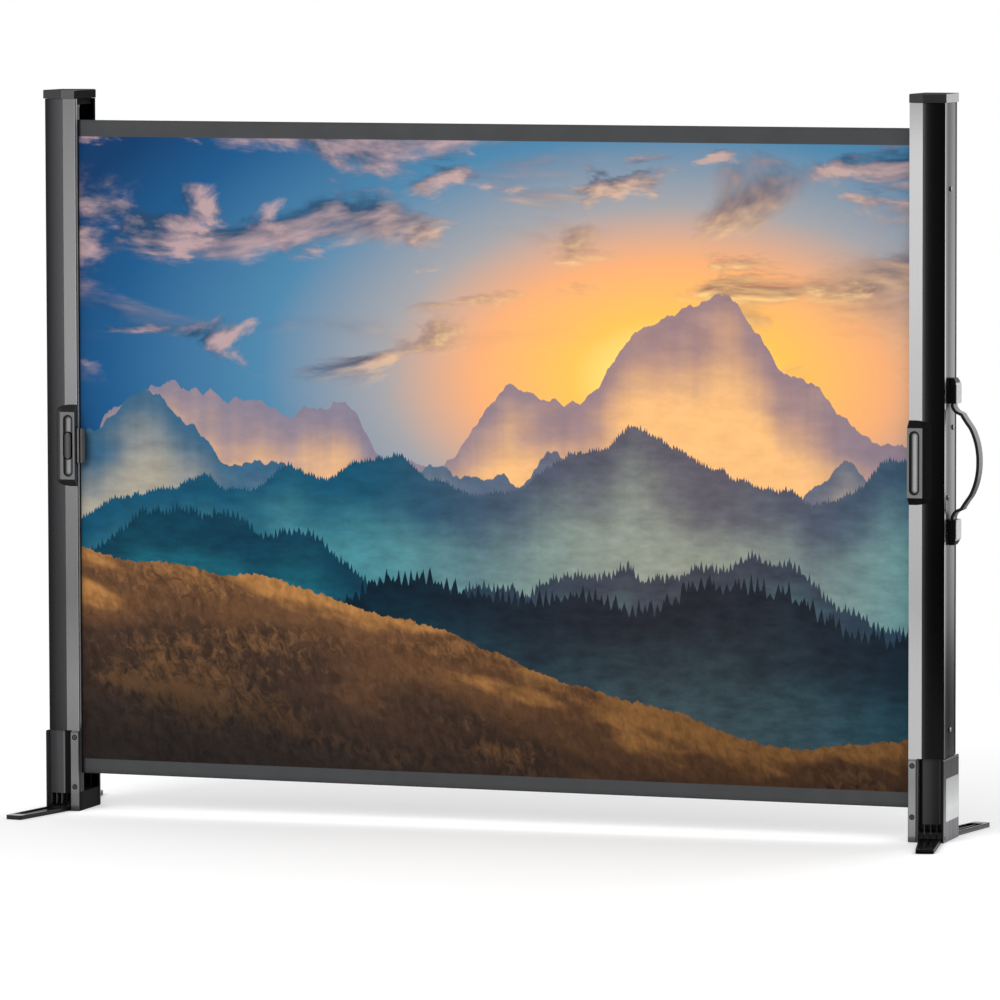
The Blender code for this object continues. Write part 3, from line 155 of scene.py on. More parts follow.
class Graph:
    """A material's or the world's node tree, with short ways to add to it."""

    def __init__(self, tree: bpy.types.NodeTree) -> None:
        """Empties the tree and keeps it.

        Args:
            tree: the node tree to fill.
        """
        self.tree = tree
        tree.nodes.clear()

    def node(self, kind: str, values: Optional[dict] = None, **settings: object) -> bpy.types.Node:
        """Adds a node.

        Args:
            kind: the node's type.
            values: what goes into each input, by its name or number.
            settings: the node's own settings.

        Returns:
            The node.
        """
        made = self.tree.nodes.new(kind)
        for name, value in settings.items():
            setattr(made, name, value)
        for key, value in (values or {}).items():
            self.put(value, made.inputs[key])
        return made

    def first(self, kind: str, values: Optional[dict] = None, **settings: object) -> Signal:
        """Adds a node as node() does, and gives its first output."""
        return Signal(self, self.node(kind, values, **settings).outputs[0])

    def put(self, value: object, socket: bpy.types.NodeSocket) -> None:
        """Links a signal to an input, or sets the input to a plain value.

        Args:
            value: a signal, a number or a colour.
            socket: the input.
        """
        if isinstance(value, Signal):
            self.tree.links.new(value.socket, socket)
        elif socket.type == "RGBA":
            socket.default_value = (*value, 1.0)
        else:
            socket.default_value = value

    def math(self, operation: str, *values: Number) -> Signal:
        """One sum of one to three numbers."""
        return self.first("ShaderNodeMath", dict(enumerate(values)), operation=operation)

    def step(self, value: Number, low: float, high: float, start: float = 0.0, end: float = 1.0) -> Signal:
        """A smooth step.

        Args:
            value: what is measured.
            low: where the step begins.
            high: where it ends.
            start: its value before it begins.
            end: its value after it ends.

        Returns:
            The stepped value.
        """
        values = {0: value, 1: low, 2: high, 3: start, 4: end}
        return self.first("ShaderNodeMapRange", values, interpolation_type="SMOOTHSTEP")

    def joined(self, x: Number, y: Number, z: Number = 0.0) -> Signal:
        """Three numbers as one vector."""
        return self.first("ShaderNodeCombineXYZ", {0: x, 1: y, 2: z})

    def parts(self, vector: Signal) -> tuple[Signal, Signal, Signal]:
        """The three numbers of a vector."""
        made = self.node("ShaderNodeSeparateXYZ", {0: vector})
        return tuple(Signal(self, out) for out in made.outputs)

    def place(self) -> tuple[Signal, Signal, Signal]:
        """The place of the point on the object, in metres."""
        made = self.node("ShaderNodeTexCoord")
        return self.parts(Signal(self, made.outputs["Object"]))

    def surface(self) -> tuple[Signal, Signal]:
        """The two places of the point on its own cloth."""
        u, v, _ = self.parts(self.first("ShaderNodeUVMap", uv_map="UVMap"))
        return u, v

    def noise(
        self, vector: Signal, scale: float, detail: float = 2.0, roughness: float = 0.5, distortion: float = 0.0
    ) -> Signal:
        """Soft noise about a half.

        Args:
            vector: where it is read.
            scale: how many lumps there are in one unit.
            detail: how many finer layers lie over it.
            roughness: how strong those are.
            distortion: how far it is swirled.

        Returns:
            The noise, from 0 to 1.
        """
        values = {"Vector": vector, "Scale": scale, "Detail": detail, "Roughness": roughness, "Distortion": distortion}
        return self.first("ShaderNodeTexNoise", values)

    def flat_noise(
        self,
        x: Signal,
        y: Signal,
        seed: float,
        detail: float = 2.0,
        roughness: float = 0.5,
        distortion: float = 0.0,
    ) -> Signal:
        """Soft noise on a plane, with lumps one unit wide, about a half.

        Args:
            x: where it is read, across.
            y: where it is read, up.
            seed: which piece of the endless noise it is.
            detail: how many finer layers lie over it.
            roughness: how strong those are.
            distortion: how far it is swirled.

        Returns:
            The noise, from 0 to 1.
        """
        vector = self.joined(x + seed, y + seed * 1.7)
        values = {"Vector": vector, "Scale": 1.0, "Detail": detail, "Roughness": roughness, "Distortion": distortion}
        return self.first("ShaderNodeTexNoise", values, noise_dimensions="2D")

    def line_noise(self, x: Signal, seed: float, detail: float, roughness: float) -> Signal:
        """Soft noise along a line, with lumps one unit wide, about a half."""
        values = {"W": x + seed, "Scale": 1.0, "Detail": detail, "Roughness": roughness}
        return self.first("ShaderNodeTexNoise", values, noise_dimensions="1D")

    def ramp(self, value: Signal, stops: list[tuple[float, Colour]]) -> Signal:
        """A colour that runs through stops.

        Args:
            value: where along the stops, from 0 to 1.
            stops: the places and their colours.

        Returns:
            The colour.
        """
        made = self.node("ShaderNodeValToRGB", {0: value})
        elements = made.color_ramp.elements
        while len(elements) < len(stops):
            elements.new(1.0)
        for element, (place, colour) in zip(elements, stops):
            element.position = place
            element.color = (*colour, 1.0)
        return Signal(self, made.outputs[0])

    def curve(self, value: Signal, stops: Pairs) -> Signal:
        """A number that runs in straight lines through stops.

        Args:
            value: what is measured.
            stops: its values in rising order, each with the number there.

        Returns:
            The number.
        """
        low, high = stops[0][0], stops[-1][0]
        peak = max(number for _, number in stops)
        greys = [((place - low) / (high - low), (number / peak,) * 3) for place, number in stops]
        grey = self.ramp(((value - low) / (high - low)).clamped(), greys)
        return self.first("ShaderNodeRGBToBW", {0: grey}) * peak

    def mixed(self, share: Number, first: Paint, second: Paint, mode: str = "MIX") -> Signal:
        """Two colours mixed.

        Args:
            share: how much of the second there is.
            first: the colour below.
            second: the colour laid over it.
            mode: how it is laid over.

        Returns:
            The colour.
        """
        made = self.node("ShaderNodeMix", data_type="RGBA", blend_type=mode, clamp_factor=True)
        self.put(share, made.inputs[0])
        self.put(first, made.inputs[6])
        self.put(second, made.inputs[7])
        return Signal(self, made.outputs[2])

    def toned(self, colour: Paint, tone: Signal) -> Signal:
        """A colour made darker or lighter by a tone."""
        return self.mixed(1.0, colour, self.joined(tone, tone, tone), "MULTIPLY")

    def reach(self, run: Signal, rise: Signal) -> Signal:
        """The straight distance that two distances at right angles make."""
        return self.math("SQRT", run * run + rise * rise)

    def round_ended(self, run: Signal, rise: Signal, straight: float) -> Signal:
        """The distance from an upright line that goes a straight length each way from the middle."""
        return self.reach(run, self.math("MAXIMUM", abs(rise) - straight, 0.0))

    def bump(self, height: Signal, distance: float, strength: float = 1.0) -> Signal:
        """Small relief.

        Args:
            height: the relief, from 0 to 1.
            distance: how high 1 is, in metres.
            strength: how strongly it shades.

        Returns:
            The normal.
        """
        return self.first("ShaderNodeBump", {"Height": height, "Distance": distance, "Strength": strength})


# Finishes


@dataclass(frozen=True)
class Finish:
    """A finish: its name, a slot name, and the values all over it."""

    name: str
    slot: str
    colour: Colour
    roughness: float
    metallic: float = 0.0
    specular: float = 0.5

    def dress(self, graph: Graph, shader: bpy.types.Node) -> None:
        """Links what varies over the surface. The plain finish varies in nothing."""

    def material(self) -> bpy.types.Material:
        """The Blender material, made the first time it is asked for."""
        made = bpy.data.materials.get(self.name)
        if made is not None:
            return made
        made = bpy.data.materials.new(self.name)
        made.use_nodes = True
        graph = Graph(made.node_tree)
        shader = graph.node("ShaderNodeBsdfPrincipled")
        for socket, value in (
            ("Base Color", self.colour),
            ("Roughness", self.roughness),
            ("Metallic", self.metallic),
            ("Specular IOR Level", self.specular),
        ):
            graph.put(value, shader.inputs[socket])
        self.dress(graph, shader)
        graph.node("ShaderNodeOutputMaterial", {"Surface": Signal(graph, shader.outputs[0])})
        return made


@dataclass(frozen=True)
class DrawnAluminium(Finish):
    """Anodised aluminium with the fine lines that the drawing die leaves along Z."""

    line_pitch: float = 0.35 * MM

    def painted_tones(self, graph: Graph, x: Signal, y: Signal, z: Signal) -> Optional[Signal]:
        """The painted light and shade on each part of the piece, where that is not the same all over."""
        return None

    def dress(self, graph: Graph, shader: bpy.types.Node) -> None:
        """Varies the colour, gloss and relief with the lines, and lays the painted light and shade by place."""
        x, y, z = graph.place()
        lines = graph.noise(graph.joined(x, y, z * 0.006), 1 / self.line_pitch, 3.0, 0.6)
        cloud = graph.noise(graph.joined(x, y, z * 0.25), 14.0, 3.0, 0.55)
        tone = 0.93 + lines * 0.1 + cloud * 0.05
        share = self.painted_tones(graph, x, y, z)
        if share is not None:
            tone = tone * share
        graph.put(graph.toned(self.colour, tone), shader.inputs["Base Color"])
        graph.put(self.roughness - 0.05 + lines * 0.06 + cloud * 0.04, shader.inputs["Roughness"])
        graph.put(graph.bump(lines, 0.004 * MM, 0.6), shader.inputs["Normal"])


@dataclass(frozen=True)
class HousingAluminium(DrawnAluminium):
    """The extrusion: bright on its strips, duller on its side, unpolished and dark inside; the brightness by place is
    painted reflection and the dark inside is painted shade.
    """

    parting_x: float = RIGHT_PARTING_X
    outwards: float = 1.0
    # Painted shade inside: behind the lips, in their groove and on the back's inner edges
    inside_shade: float = 0.03
    lip_depth: float = 27.1 * MM
    wall_depth: float = 32.9 * MM
    strip_depth: float = 34.5 * MM
    side_start: float = 40.6 * MM
    # The front lip's bare cut end, its lightness a painted highlight
    lip_tone: float = 0.17
    # A painted highlight along each strip's inner edge
    edge_highlight: float = 1.0
    # How bright the strips are at each height, a painted reflection
    strip_heights: Pairs = ((0.10, 1.0), (0.90, 1.0))
    # How bright the side is from front to back and at each height, a painted reflection: painted shadow at the front
    # corner, a painted highlight behind it, and two shallow flutes shaded in paint
    side_depths: Pairs = pairs(
        MM, (-28.2, 0.02), (-27.8, 0.02), (-27.3, 1.10), (-24.2, 1.10), (-22.4, 0.42), (-21.0, 0.28),
        (-18.0, 0.26), (-12.0, 0.13), (-7.0, 0.15), (-1.0, 0.20), (5.0, 0.30), (11.0, 0.36), (16.0, 0.42),
        (20.0, 0.34), (24.0, 0.22), (28.0, 0.24),
    )
    side_heights: Pairs = (
        (0.10, 0.50), (0.18, 0.70), (0.25, 0.90), (0.30, 0.95), (0.46, 1.32), (0.64, 1.18), (0.76, 1.00),
        (0.87, 0.88),
    )

    def painted_tones(self, graph: Graph, x: Signal, y: Signal, z: Signal) -> Signal:
        """Painted shade behind the lips, in their groove and on the back's inner edges, a painted highlight on the
        strip's inner edge, and painted reflection on the strips and the fluted side.
        """
        out = (x - self.parting_x) * self.outwards
        off = abs(y)
        behind = graph.step(off, self.lip_depth + 0.1 * MM, self.lip_depth - 0.1 * MM)
        walls = graph.step(off, self.wall_depth + 0.1 * MM, self.wall_depth - 0.1 * MM)
        groove = walls * graph.step(out, 0.1 * MM, 0.4 * MM)
        back = graph.step(y, 0.0, 0.1 * MM) * graph.step(off, self.strip_depth, self.strip_depth - 0.3 * MM)
        inner = graph.step(out, self.side_start, self.side_start - 0.4 * MM)
        dark = graph.math("MAXIMUM", graph.math("MAXIMUM", behind, groove), back) * inner
        edge = graph.step(out, 1.1 * MM, 0.5 * MM) * graph.step(off, self.strip_depth - 0.1 * MM, self.strip_depth)
        strip = graph.curve(z, self.strip_heights) * (1.0 - dark * (1.0 - self.inside_shade))
        strip = strip * (1.0 + edge * (self.edge_highlight - 1.0))
        side = graph.curve(y, self.side_depths) * graph.curve(z, self.side_heights)
        on_side = graph.step(out, self.side_start - 0.2 * MM, self.side_start + 0.2 * MM)
        return strip * (1.0 - on_side) + side * on_side

    def dress(self, graph: Graph, shader: bpy.types.Node) -> None:
        """Adds the cut ends: bare grey metal without gloss on the front lip, lighter as a painted highlight and darker
        low down as painted shade, and painted dark as shade elsewhere.
        """
        super().dress(graph, shader)
        x, y, z = graph.place()
        out = (x - self.parting_x) * self.outwards
        off = abs(y)
        end = graph.step(out, 0.2 * MM, 0.1 * MM) * graph.step(off, self.strip_depth, self.strip_depth - 0.1 * MM)
        lip = graph.step(y, -self.wall_depth, -self.wall_depth + 0.3 * MM) * graph.step(y, 0.0, -0.1 * MM)
        below = Signal(graph, shader.inputs["Base Color"].links[0].from_socket)
        # The lip end's tone by height: a painted highlight, darker near the base as painted shade; the other cut ends
        # are painted dark as shade
        tone = graph.curve(z, ((0.099, self.lip_tone * 0.2), (0.112, self.lip_tone)))
        bare = graph.mixed(lip, (0.004, 0.004, 0.004), graph.joined(tone, tone, tone))
        graph.put(graph.mixed(end, below, bare), shader.inputs["Base Color"])
        graph.put(1.0 - end * lip, shader.inputs["Metallic"])
        gloss = Signal(graph, shader.inputs["Roughness"].links[0].from_socket)
        graph.put(gloss + end * 0.6, shader.inputs["Roughness"])
        # The tint of a metal's edge, which tones down the side at a low angle
        graph.put((0.6, 0.6, 0.6), shader.inputs["Specular Tint"])


@dataclass(frozen=True)
class DrilledPlate(DrawnAluminium):
    """A grey plate with painted shadow in its countersinks about the two screws, painted shade towards its ends and
    painted reflection at each height.
    """

    screw_x: float = 0.0
    screw_z: tuple[float, ...] = (30 * MM, 91 * MM)
    sink_radius: float = 3.35 * MM
    # The tone towards the plate's ends: below one painted shade, above one a painted highlight
    end_share: float = 0.2
    # How bright the plate is at each height, a painted reflection
    heights: Pairs = pairs(
        MM, (0.0, 0.30), (5, 0.42), (8, 1.0), (24, 1.1), (40, 1.15), (70, 0.95), (95, 1.0), (99, 0.45),
    )

    def painted_tones(self, graph: Graph, x: Signal, y: Signal, z: Signal) -> Signal:
        """Painted shadow inside the two countersinks, darker towards the plate's ends as painted shade, and painted
        reflection at each height.
        """
        nearest = None
        for height in self.screw_z:
            run, rise = x - self.screw_x, z - height
            reach = graph.reach(run, rise)
            nearest = reach if nearest is None else graph.math("MINIMUM", nearest, reach)
        sink_shadow = graph.step(nearest, self.sink_radius - 0.1 * MM, self.sink_radius + 0.1 * MM, 0.015, 1.0)
        ends = graph.step(abs(x - self.screw_x), 4.1 * MM, 4.5 * MM, 1.0, self.end_share)
        return sink_shadow * ends * graph.curve(z, self.heights)


@dataclass(frozen=True)
class MouldedPlastic(Finish):
    """Moulded plastic with a fine spark-eroded grain and faint flow marks."""

    grain: float = 0.45 * MM
    relief: float = 0.02 * MM
    variation: float = 0.25
    parting_x: float = RIGHT_PARTING_X
    outwards: float = 1.0

    def painted_tones(self, graph: Graph, out: Signal, y: Signal, z: Signal) -> Optional[Signal]:
        """The painted light and shade on each part of the piece, where that is not the same all over."""
        return None

    def dulled(self, graph: Graph, out: Signal, y: Signal, z: Signal) -> Optional[Signal]:
        """Where the piece has no gloss, from 0 to 1."""
        return None

    def painted_shade(self, graph: Graph, out: Signal, y: Signal, z: Signal) -> Optional[Signal]:
        """Where shade is painted, as in a deep groove, from 0 to 1; there the piece gives back no light."""
        return None

    def dress(self, graph: Graph, shader: bpy.types.Node) -> None:
        """Varies the colour, gloss and relief with the grain, and lays the painted light and shade. Where shade is
        painted, a black metal gives back no light.
        """
        x, y, z = graph.place()
        here = graph.joined(x, y, z)
        grain = graph.noise(here, 1 / self.grain, 2.0, 0.6)
        flow = graph.noise(here, 30.0, 4.0, 0.55, 0.6)
        tone = 1.0 - self.variation / 2 + flow * self.variation * 0.7 + grain * self.variation * 0.3
        out = (x - self.parting_x) * self.outwards
        share = self.painted_tones(graph, out, y, z)
        if share is not None:
            tone = tone * share
        # Painted shade: a black metal where the piece lies in shade
        groove = self.painted_shade(graph, out, y, z)
        if groove is not None:
            tone = tone * (1.0 - groove * 0.9)
            graph.put(groove, shader.inputs["Metallic"])
        graph.put(graph.toned(self.colour, tone), shader.inputs["Base Color"])
        roughness = self.roughness - 0.06 + flow * 0.08 + grain * 0.04
        dull = self.dulled(graph, out, y, z)
        if dull is not None:
            roughness = roughness + dull * (0.95 - roughness)
        graph.put(roughness, shader.inputs["Roughness"])
        graph.put(graph.bump(grain, self.relief, 0.5), shader.inputs["Normal"])


@dataclass(frozen=True)
class PanelPlastic(MouldedPlastic):
    """A panel or a plate with painted reflection outwards and at each height, and a painted tone on the back cover's
    outer edge.
    """

    depths: Pairs = ((16.3 * MM, 1.0), (41.5 * MM, 1.0))
    heights: Pairs = ((0.10, 1.0), (0.90, 1.0))
    # The back cover's outer edge: painted dark as shade by default, pale as a painted highlight where set higher
    back_edge: float = 0.02

    def painted_tones(self, graph: Graph, out: Signal, y: Signal, z: Signal) -> Signal:
        """The painted reflection outwards from the parting plane, times that at each height, with the painted tone of
        the back edge.
        """
        across = graph.curve(out, self.depths)
        back = graph.step(out, 40.4 * MM, 40.6 * MM) * graph.step(y, 0.0, 0.1 * MM)
        back = back * graph.step(y, 27.4 * MM, 27.2 * MM)
        return (across + back * (self.back_edge - across)) * graph.curve(z, self.heights)


@dataclass(frozen=True)
class BlockPlastic(MouldedPlastic):
    """A base block: a painted highlight on the fillet beside the plate, painted shade on the step and in each groove,
    and a painted gradient across the rounded recess.
    """

    depths: Pairs = ((0.0, 1.0), (43.5 * MM, 1.0))
    groove_shade: Pairs = ((0.0, 0.0), (43.5 * MM, 0.0))
    front_depth: float = 24.0 * MM
    side_start: float = 43.2 * MM
    # How bright the outer side is, a painted reflection
    painted_side_share: float = 1.0
    # The outer side's painted reflection at each height
    side_heights: Pairs = pairs(
        MM, (0.0, 5.4), (12, 6.2), (30, 6.4), (52, 4.4), (76, 1.5), (96, 1.0), (98.5, 2.4), (99, 2.4),
    )

    def painted_tones(self, graph: Graph, out: Signal, y: Signal, z: Signal) -> Signal:
        """The painted light and shade across the front, and on the outer side a painted reflection at each height,
        streaked and darker towards the front edge.
        """
        front = graph.step(abs(y), self.front_depth, self.front_depth + MM)
        across = graph.curve(out, self.depths)
        streaks = graph.noise(graph.joined(out, y, z * 0.04), 170.0, 3.0, 0.6)
        # Painted shade towards the outer side's front edge
        edge = graph.step(y, -37.4 * MM, -35.2 * MM, 0.5, 1.0)
        side = graph.curve(z, self.side_heights) * (0.15 + streaks * 1.7) * edge * self.painted_side_share
        on_side = graph.step(out, self.side_start, self.side_start + 0.2 * MM)
        share = 1.0 + front * (across - 1.0)
        return share + on_side * (side - share)

    def dulled(self, graph: Graph, out: Signal, y: Signal, z: Signal) -> Signal:
        """The inner face at the parting plane has no gloss."""
        return graph.step(out, 0.3 * MM, 0.1 * MM)

    def painted_shade(self, graph: Graph, out: Signal, y: Signal, z: Signal) -> Signal:
        """Painted shade in each groove beside the plate."""
        front = graph.step(abs(y), self.front_depth, self.front_depth + MM)
        return graph.curve(out, self.groove_shade) * front


@dataclass(frozen=True)
class FootPlastic(MouldedPlastic):
    """A foot: its sides painted paler or darker than its rails as light and shade, its knuckles dark with painted
    shade.
    """

    # The sides' painted light, and below it how much shade is painted on the sides, the top and the knuckles
    painted_side_share: float = 1.0
    side_shade: float = 0.0
    top_shade: float = 0.0
    knuckle_shade: float = 0.6
    side_top: float = 4.4 * MM
    web_top: float = 3.0 * MM
    rail_top: float = 5.2 * MM
    splay: float = 0.1726
    outer_edge: float = -1.0

    def sides(self, graph: Graph, out: Signal, y: Signal, z: Signal) -> Signal:
        """Where the point is on a side past the outer edge, and not on the web between the rails."""
        web = graph.step(abs(z - self.web_top), 0.25 * MM, 0.1 * MM)
        across = out - abs(y) * self.splay
        outer = graph.step(across, self.outer_edge - 0.3 * MM, self.outer_edge + 0.3 * MM)
        return graph.step(z, self.side_top + 0.2 * MM, self.side_top - 0.2 * MM) * (1.0 - web) * outer

    def painted_tones(self, graph: Graph, out: Signal, y: Signal, z: Signal) -> Signal:
        """The sides' painted light and shade."""
        return 1.0 + self.sides(graph, out, y, z) * (self.painted_side_share - 1.0)

    def painted_shade(self, graph: Graph, out: Signal, y: Signal, z: Signal) -> Signal:
        """How much shade is painted on the sides, the rails and the knuckles, which then give back little light."""
        side = self.sides(graph, out, y, z)
        knuckle = graph.step(z, self.rail_top + 0.2 * MM, self.rail_top + 0.5 * MM)
        low = side * self.side_shade + (1.0 - side) * self.top_shade
        return low + knuckle * (self.knuckle_shade - low)


@dataclass(frozen=True)
class CapPlastic(MouldedPlastic):
    """A top cap: painted light and shade at the front, at the slope and at the end face, with painted shade on the
    plug, the inner end and the top.
    """

    # Painted tones at the front, the slope, the end face and the inside: above one painted light, below one painted
    # shade
    front_share: float = 1.0
    slope_share: float = 1.0
    painted_side_share: float = 1.0
    inner_share: float = 1.0
    slope_start: float = 17.0 * MM
    side_start: float = 43.2 * MM
    top: float = 884.0 * MM

    def painted_tones(self, graph: Graph, out: Signal, y: Signal, z: Signal) -> Signal:
        """The painted light and shade by how far out the point is, a mottled painted reflection at the side, and
        painted shade on the top.
        """
        mottle = graph.noise(graph.joined(out, y, z), 260.0, 5.0, 0.75)
        side = self.painted_side_share * (0.45 + mottle * 1.1)
        slope = graph.step(out, self.slope_start - 0.3 * MM, self.slope_start + 0.3 * MM)
        share = self.front_share + slope * (self.slope_share - self.front_share)
        share = share + graph.step(out, self.side_start, self.side_start + 0.2 * MM) * (side - share)
        share = share + self.inside(graph, out, y, z) * (self.inner_share - share)
        return share * graph.step(z, self.top - 0.05 * MM, self.top - 0.25 * MM, 0.2, 1.0)

    def inside(self, graph: Graph, out: Signal, y: Signal, z: Signal) -> Signal:
        """Where the point is on the plug, or on the end that faces the other column."""
        plug = graph.step(abs(y), 26.1 * MM, 25.9 * MM)
        plug = plug * graph.step(out, 40.5 * MM, 40.0 * MM) * graph.step(z, self.top - 0.3 * MM, self.top - 0.5 * MM)
        return graph.math("MAXIMUM", plug, graph.step(out, 0.3 * MM, 0.1 * MM))

    def dulled(self, graph: Graph, out: Signal, y: Signal, z: Signal) -> Signal:
        """The top has no gloss, nor has the end that faces the other column."""
        top = graph.step(z, self.top - 0.25 * MM, self.top - 0.05 * MM)
        return graph.math("MAXIMUM", top, self.inside(graph, out, y, z))


@dataclass(frozen=True)
class HandlePlastic(MouldedPlastic):
    """A handle's end or its strap: black at its front edge, pale on its outer face with a painted sheen."""

    # How strong the painted sheen on the outer face is
    pale: float = 60.0
    pale_start: float = 46.0 * MM
    pale_end: float = 52.0 * MM
    edge: float = -10.0 * MM
    # The painted sheen's strength at each height
    heights: Pairs = ((0.3, 1.0), (0.6, 1.0))

    def painted_tones(self, graph: Graph, out: Signal, y: Signal, z: Signal) -> Signal:
        """A painted sheen, mottled and set by height, where the point is far out and behind the front edge."""
        outer = graph.step(out, self.pale_start, self.pale_end)
        behind = graph.step(y, self.edge - 0.3 * MM, self.edge + 0.3 * MM)
        sheen_mottle = graph.noise(graph.joined(out, y, z), 300.0, 4.0, 0.65)
        return 1.0 + outer * behind * self.pale * (0.6 + sheen_mottle * 0.8) * graph.curve(z, self.heights)

    def dulled(self, graph: Graph, out: Signal, y: Signal, z: Signal) -> Signal:
        """The front edge has no gloss."""
        return graph.step(y, self.edge + 0.3 * MM, self.edge - 0.3 * MM)


@dataclass(frozen=True)
class RidgedPlastic(MouldedPlastic):
    """The button or the latch: painted light and shade across its width, and painted shade in a gap or at an edge."""

    depths: Pairs = ((0.0, 1.0), (20 * MM, 1.0))
    # Where the gap of painted shade lies, outwards from the parting plane
    gap: tuple[float, float] = (-1.0, -1.0)
    middle_x: float = 0.0
    middle_z: float = 450 * MM
    half_width: float = 1.0
    half_height: float = 1.0

    def painted_tones(self, graph: Graph, out: Signal, y: Signal, z: Signal) -> Signal:
        """The painted light and shade outwards from the parting plane."""
        return graph.curve(out, self.depths)

    def painted_shade(self, graph: Graph, out: Signal, y: Signal, z: Signal) -> Signal:
        """Painted shade in the gap between two distances outwards, and at the edge of the round-ended outline."""
        low, high = self.gap
        gap = graph.step(out, low - 0.2 * MM, low + 0.2 * MM) * graph.step(out, high + 0.2 * MM, high - 0.2 * MM)
        straight = self.half_height - self.half_width
        reach = graph.round_ended(out - self.middle_x, z - self.middle_z, straight)
        edge = graph.step(reach, self.half_width - 1.5 * MM, self.half_width - 0.7 * MM)
        return graph.math("MAXIMUM", gap, edge)


@dataclass(frozen=True)
class GripPlastic(MouldedPlastic):
    """A grip's two tones: a paler grey face and finger scoop in a dark frame, the scoop with a painted highlight that
    fades to painted shade at its rim.
    """

    face_colour: Colour = (0.10, 0.10, 0.102)
    scoop_highlight: Colour = (0.17, 0.17, 0.172)
    scoop_rim_shade: Colour = (0.012, 0.012, 0.0125)
    face_y: float = -43.9 * MM
    scoop_x: float = 0.0
    scoop_z: float = 450 * MM
    half_width: float = 6.25 * MM
    half_height: float = 38.1 * MM
    end_colour: Colour = (0.05, 0.048, 0.05)

    def dress(self, graph: Graph, shader: bpy.types.Node) -> None:
        """Lays the paler tones on the face and the inner end, and the scoop's painted highlight and rim shade, over the
        plastic's grain.
        """
        super().dress(graph, shader)
        x, y, z = graph.place()
        reach = graph.round_ended(x - self.scoop_x, z - self.scoop_z, self.half_height - self.half_width)
        inside = graph.step(reach, self.half_width + 0.1 * MM, self.half_width - 0.5 * MM)
        # Painted shade towards the scoop's rim
        rim = graph.step(reach, 0.05 * self.half_width, 0.74 * self.half_width)
        face = graph.step(y, self.face_y + 0.06 * MM, self.face_y - 0.02 * MM)
        front = graph.step(y, -37.0 * MM, -38.5 * MM)
        sheen_mottle = graph.noise(graph.joined(x, y, z), 420.0, 3.0, 0.6)
        tone = 0.8 + sheen_mottle * 0.4
        grey = graph.toned(self.face_colour, tone)
        scoop = graph.mixed(rim, self.scoop_highlight, self.scoop_rim_shade)
        scoop = graph.toned(scoop, tone)
        below = Signal(graph, shader.inputs["Base Color"].links[0].from_socket)
        end = graph.step((x - self.parting_x) * self.outwards, 0.4 * MM, 0.2 * MM)
        below = graph.mixed(end, below, self.end_colour)
        colour = graph.mixed(inside * front, graph.mixed(face, below, grey), scoop)
        graph.put(colour, shader.inputs["Base Color"])


@dataclass(frozen=True)
class TurnedSteel(Finish):
    """Bright steel with a faint grain."""

    def dress(self, graph: Graph, shader: bpy.types.Node) -> None:
        """Varies the colour and gloss."""
        x, y, z = graph.place()
        grain = graph.noise(graph.joined(x, y, z), 1800.0, 3.0, 0.6)
        tone = 0.88 + grain * 0.24
        graph.put(graph.toned(self.colour, tone), shader.inputs["Base Color"])
        graph.put(self.roughness - 0.05 + grain * 0.1, shader.inputs["Roughness"])


@dataclass(frozen=True)
class WovenCloth(Finish):
    """Matt screen cloth, with a plain weave that follows the cloth's own places."""

    width: float = 1.1
    height: float = 0.8
    thread: float = 0.55 * MM

    def weave(self, graph: Graph, u: Signal, v: Signal) -> Signal:
        """The weave's height: two waves across each other, each one thread long."""
        across = graph.math("SINE", u * (math.tau * self.width / self.thread / 2))
        along = graph.math("SINE", v * (math.tau * self.height / self.thread / 2))
        return across * along * 0.5 + 0.5

    def dress(self, graph: Graph, shader: bpy.types.Node) -> None:
        """Lays the weave's relief and a faint unevenness on the cloth."""
        u, v = graph.surface()
        cloud = graph.noise(graph.joined(u * self.width, v * self.height), 9.0, 3.0, 0.5)
        tone = 0.96 + cloud * 0.08
        graph.put(graph.toned(self.colour, tone), shader.inputs["Base Color"])
        graph.put(graph.bump(self.weave(graph, u, v), 0.03 * MM, 0.25), shader.inputs["Normal"])


@dataclass(frozen=True)
class Ridge:
    """One ridge of hills in the screen's picture, in shares of the picture's height."""

    base: float
    slope: float
    rise: float
    scale: float
    seed: float
    crest: Colour
    foot: Colour
    depth: float
    trees: float = 0.0
    tree_count: float = 90.0
    detail: float = 8.0
    roughness: float = 0.5
    mottle: float = 0.12
    glow: float = 0.42


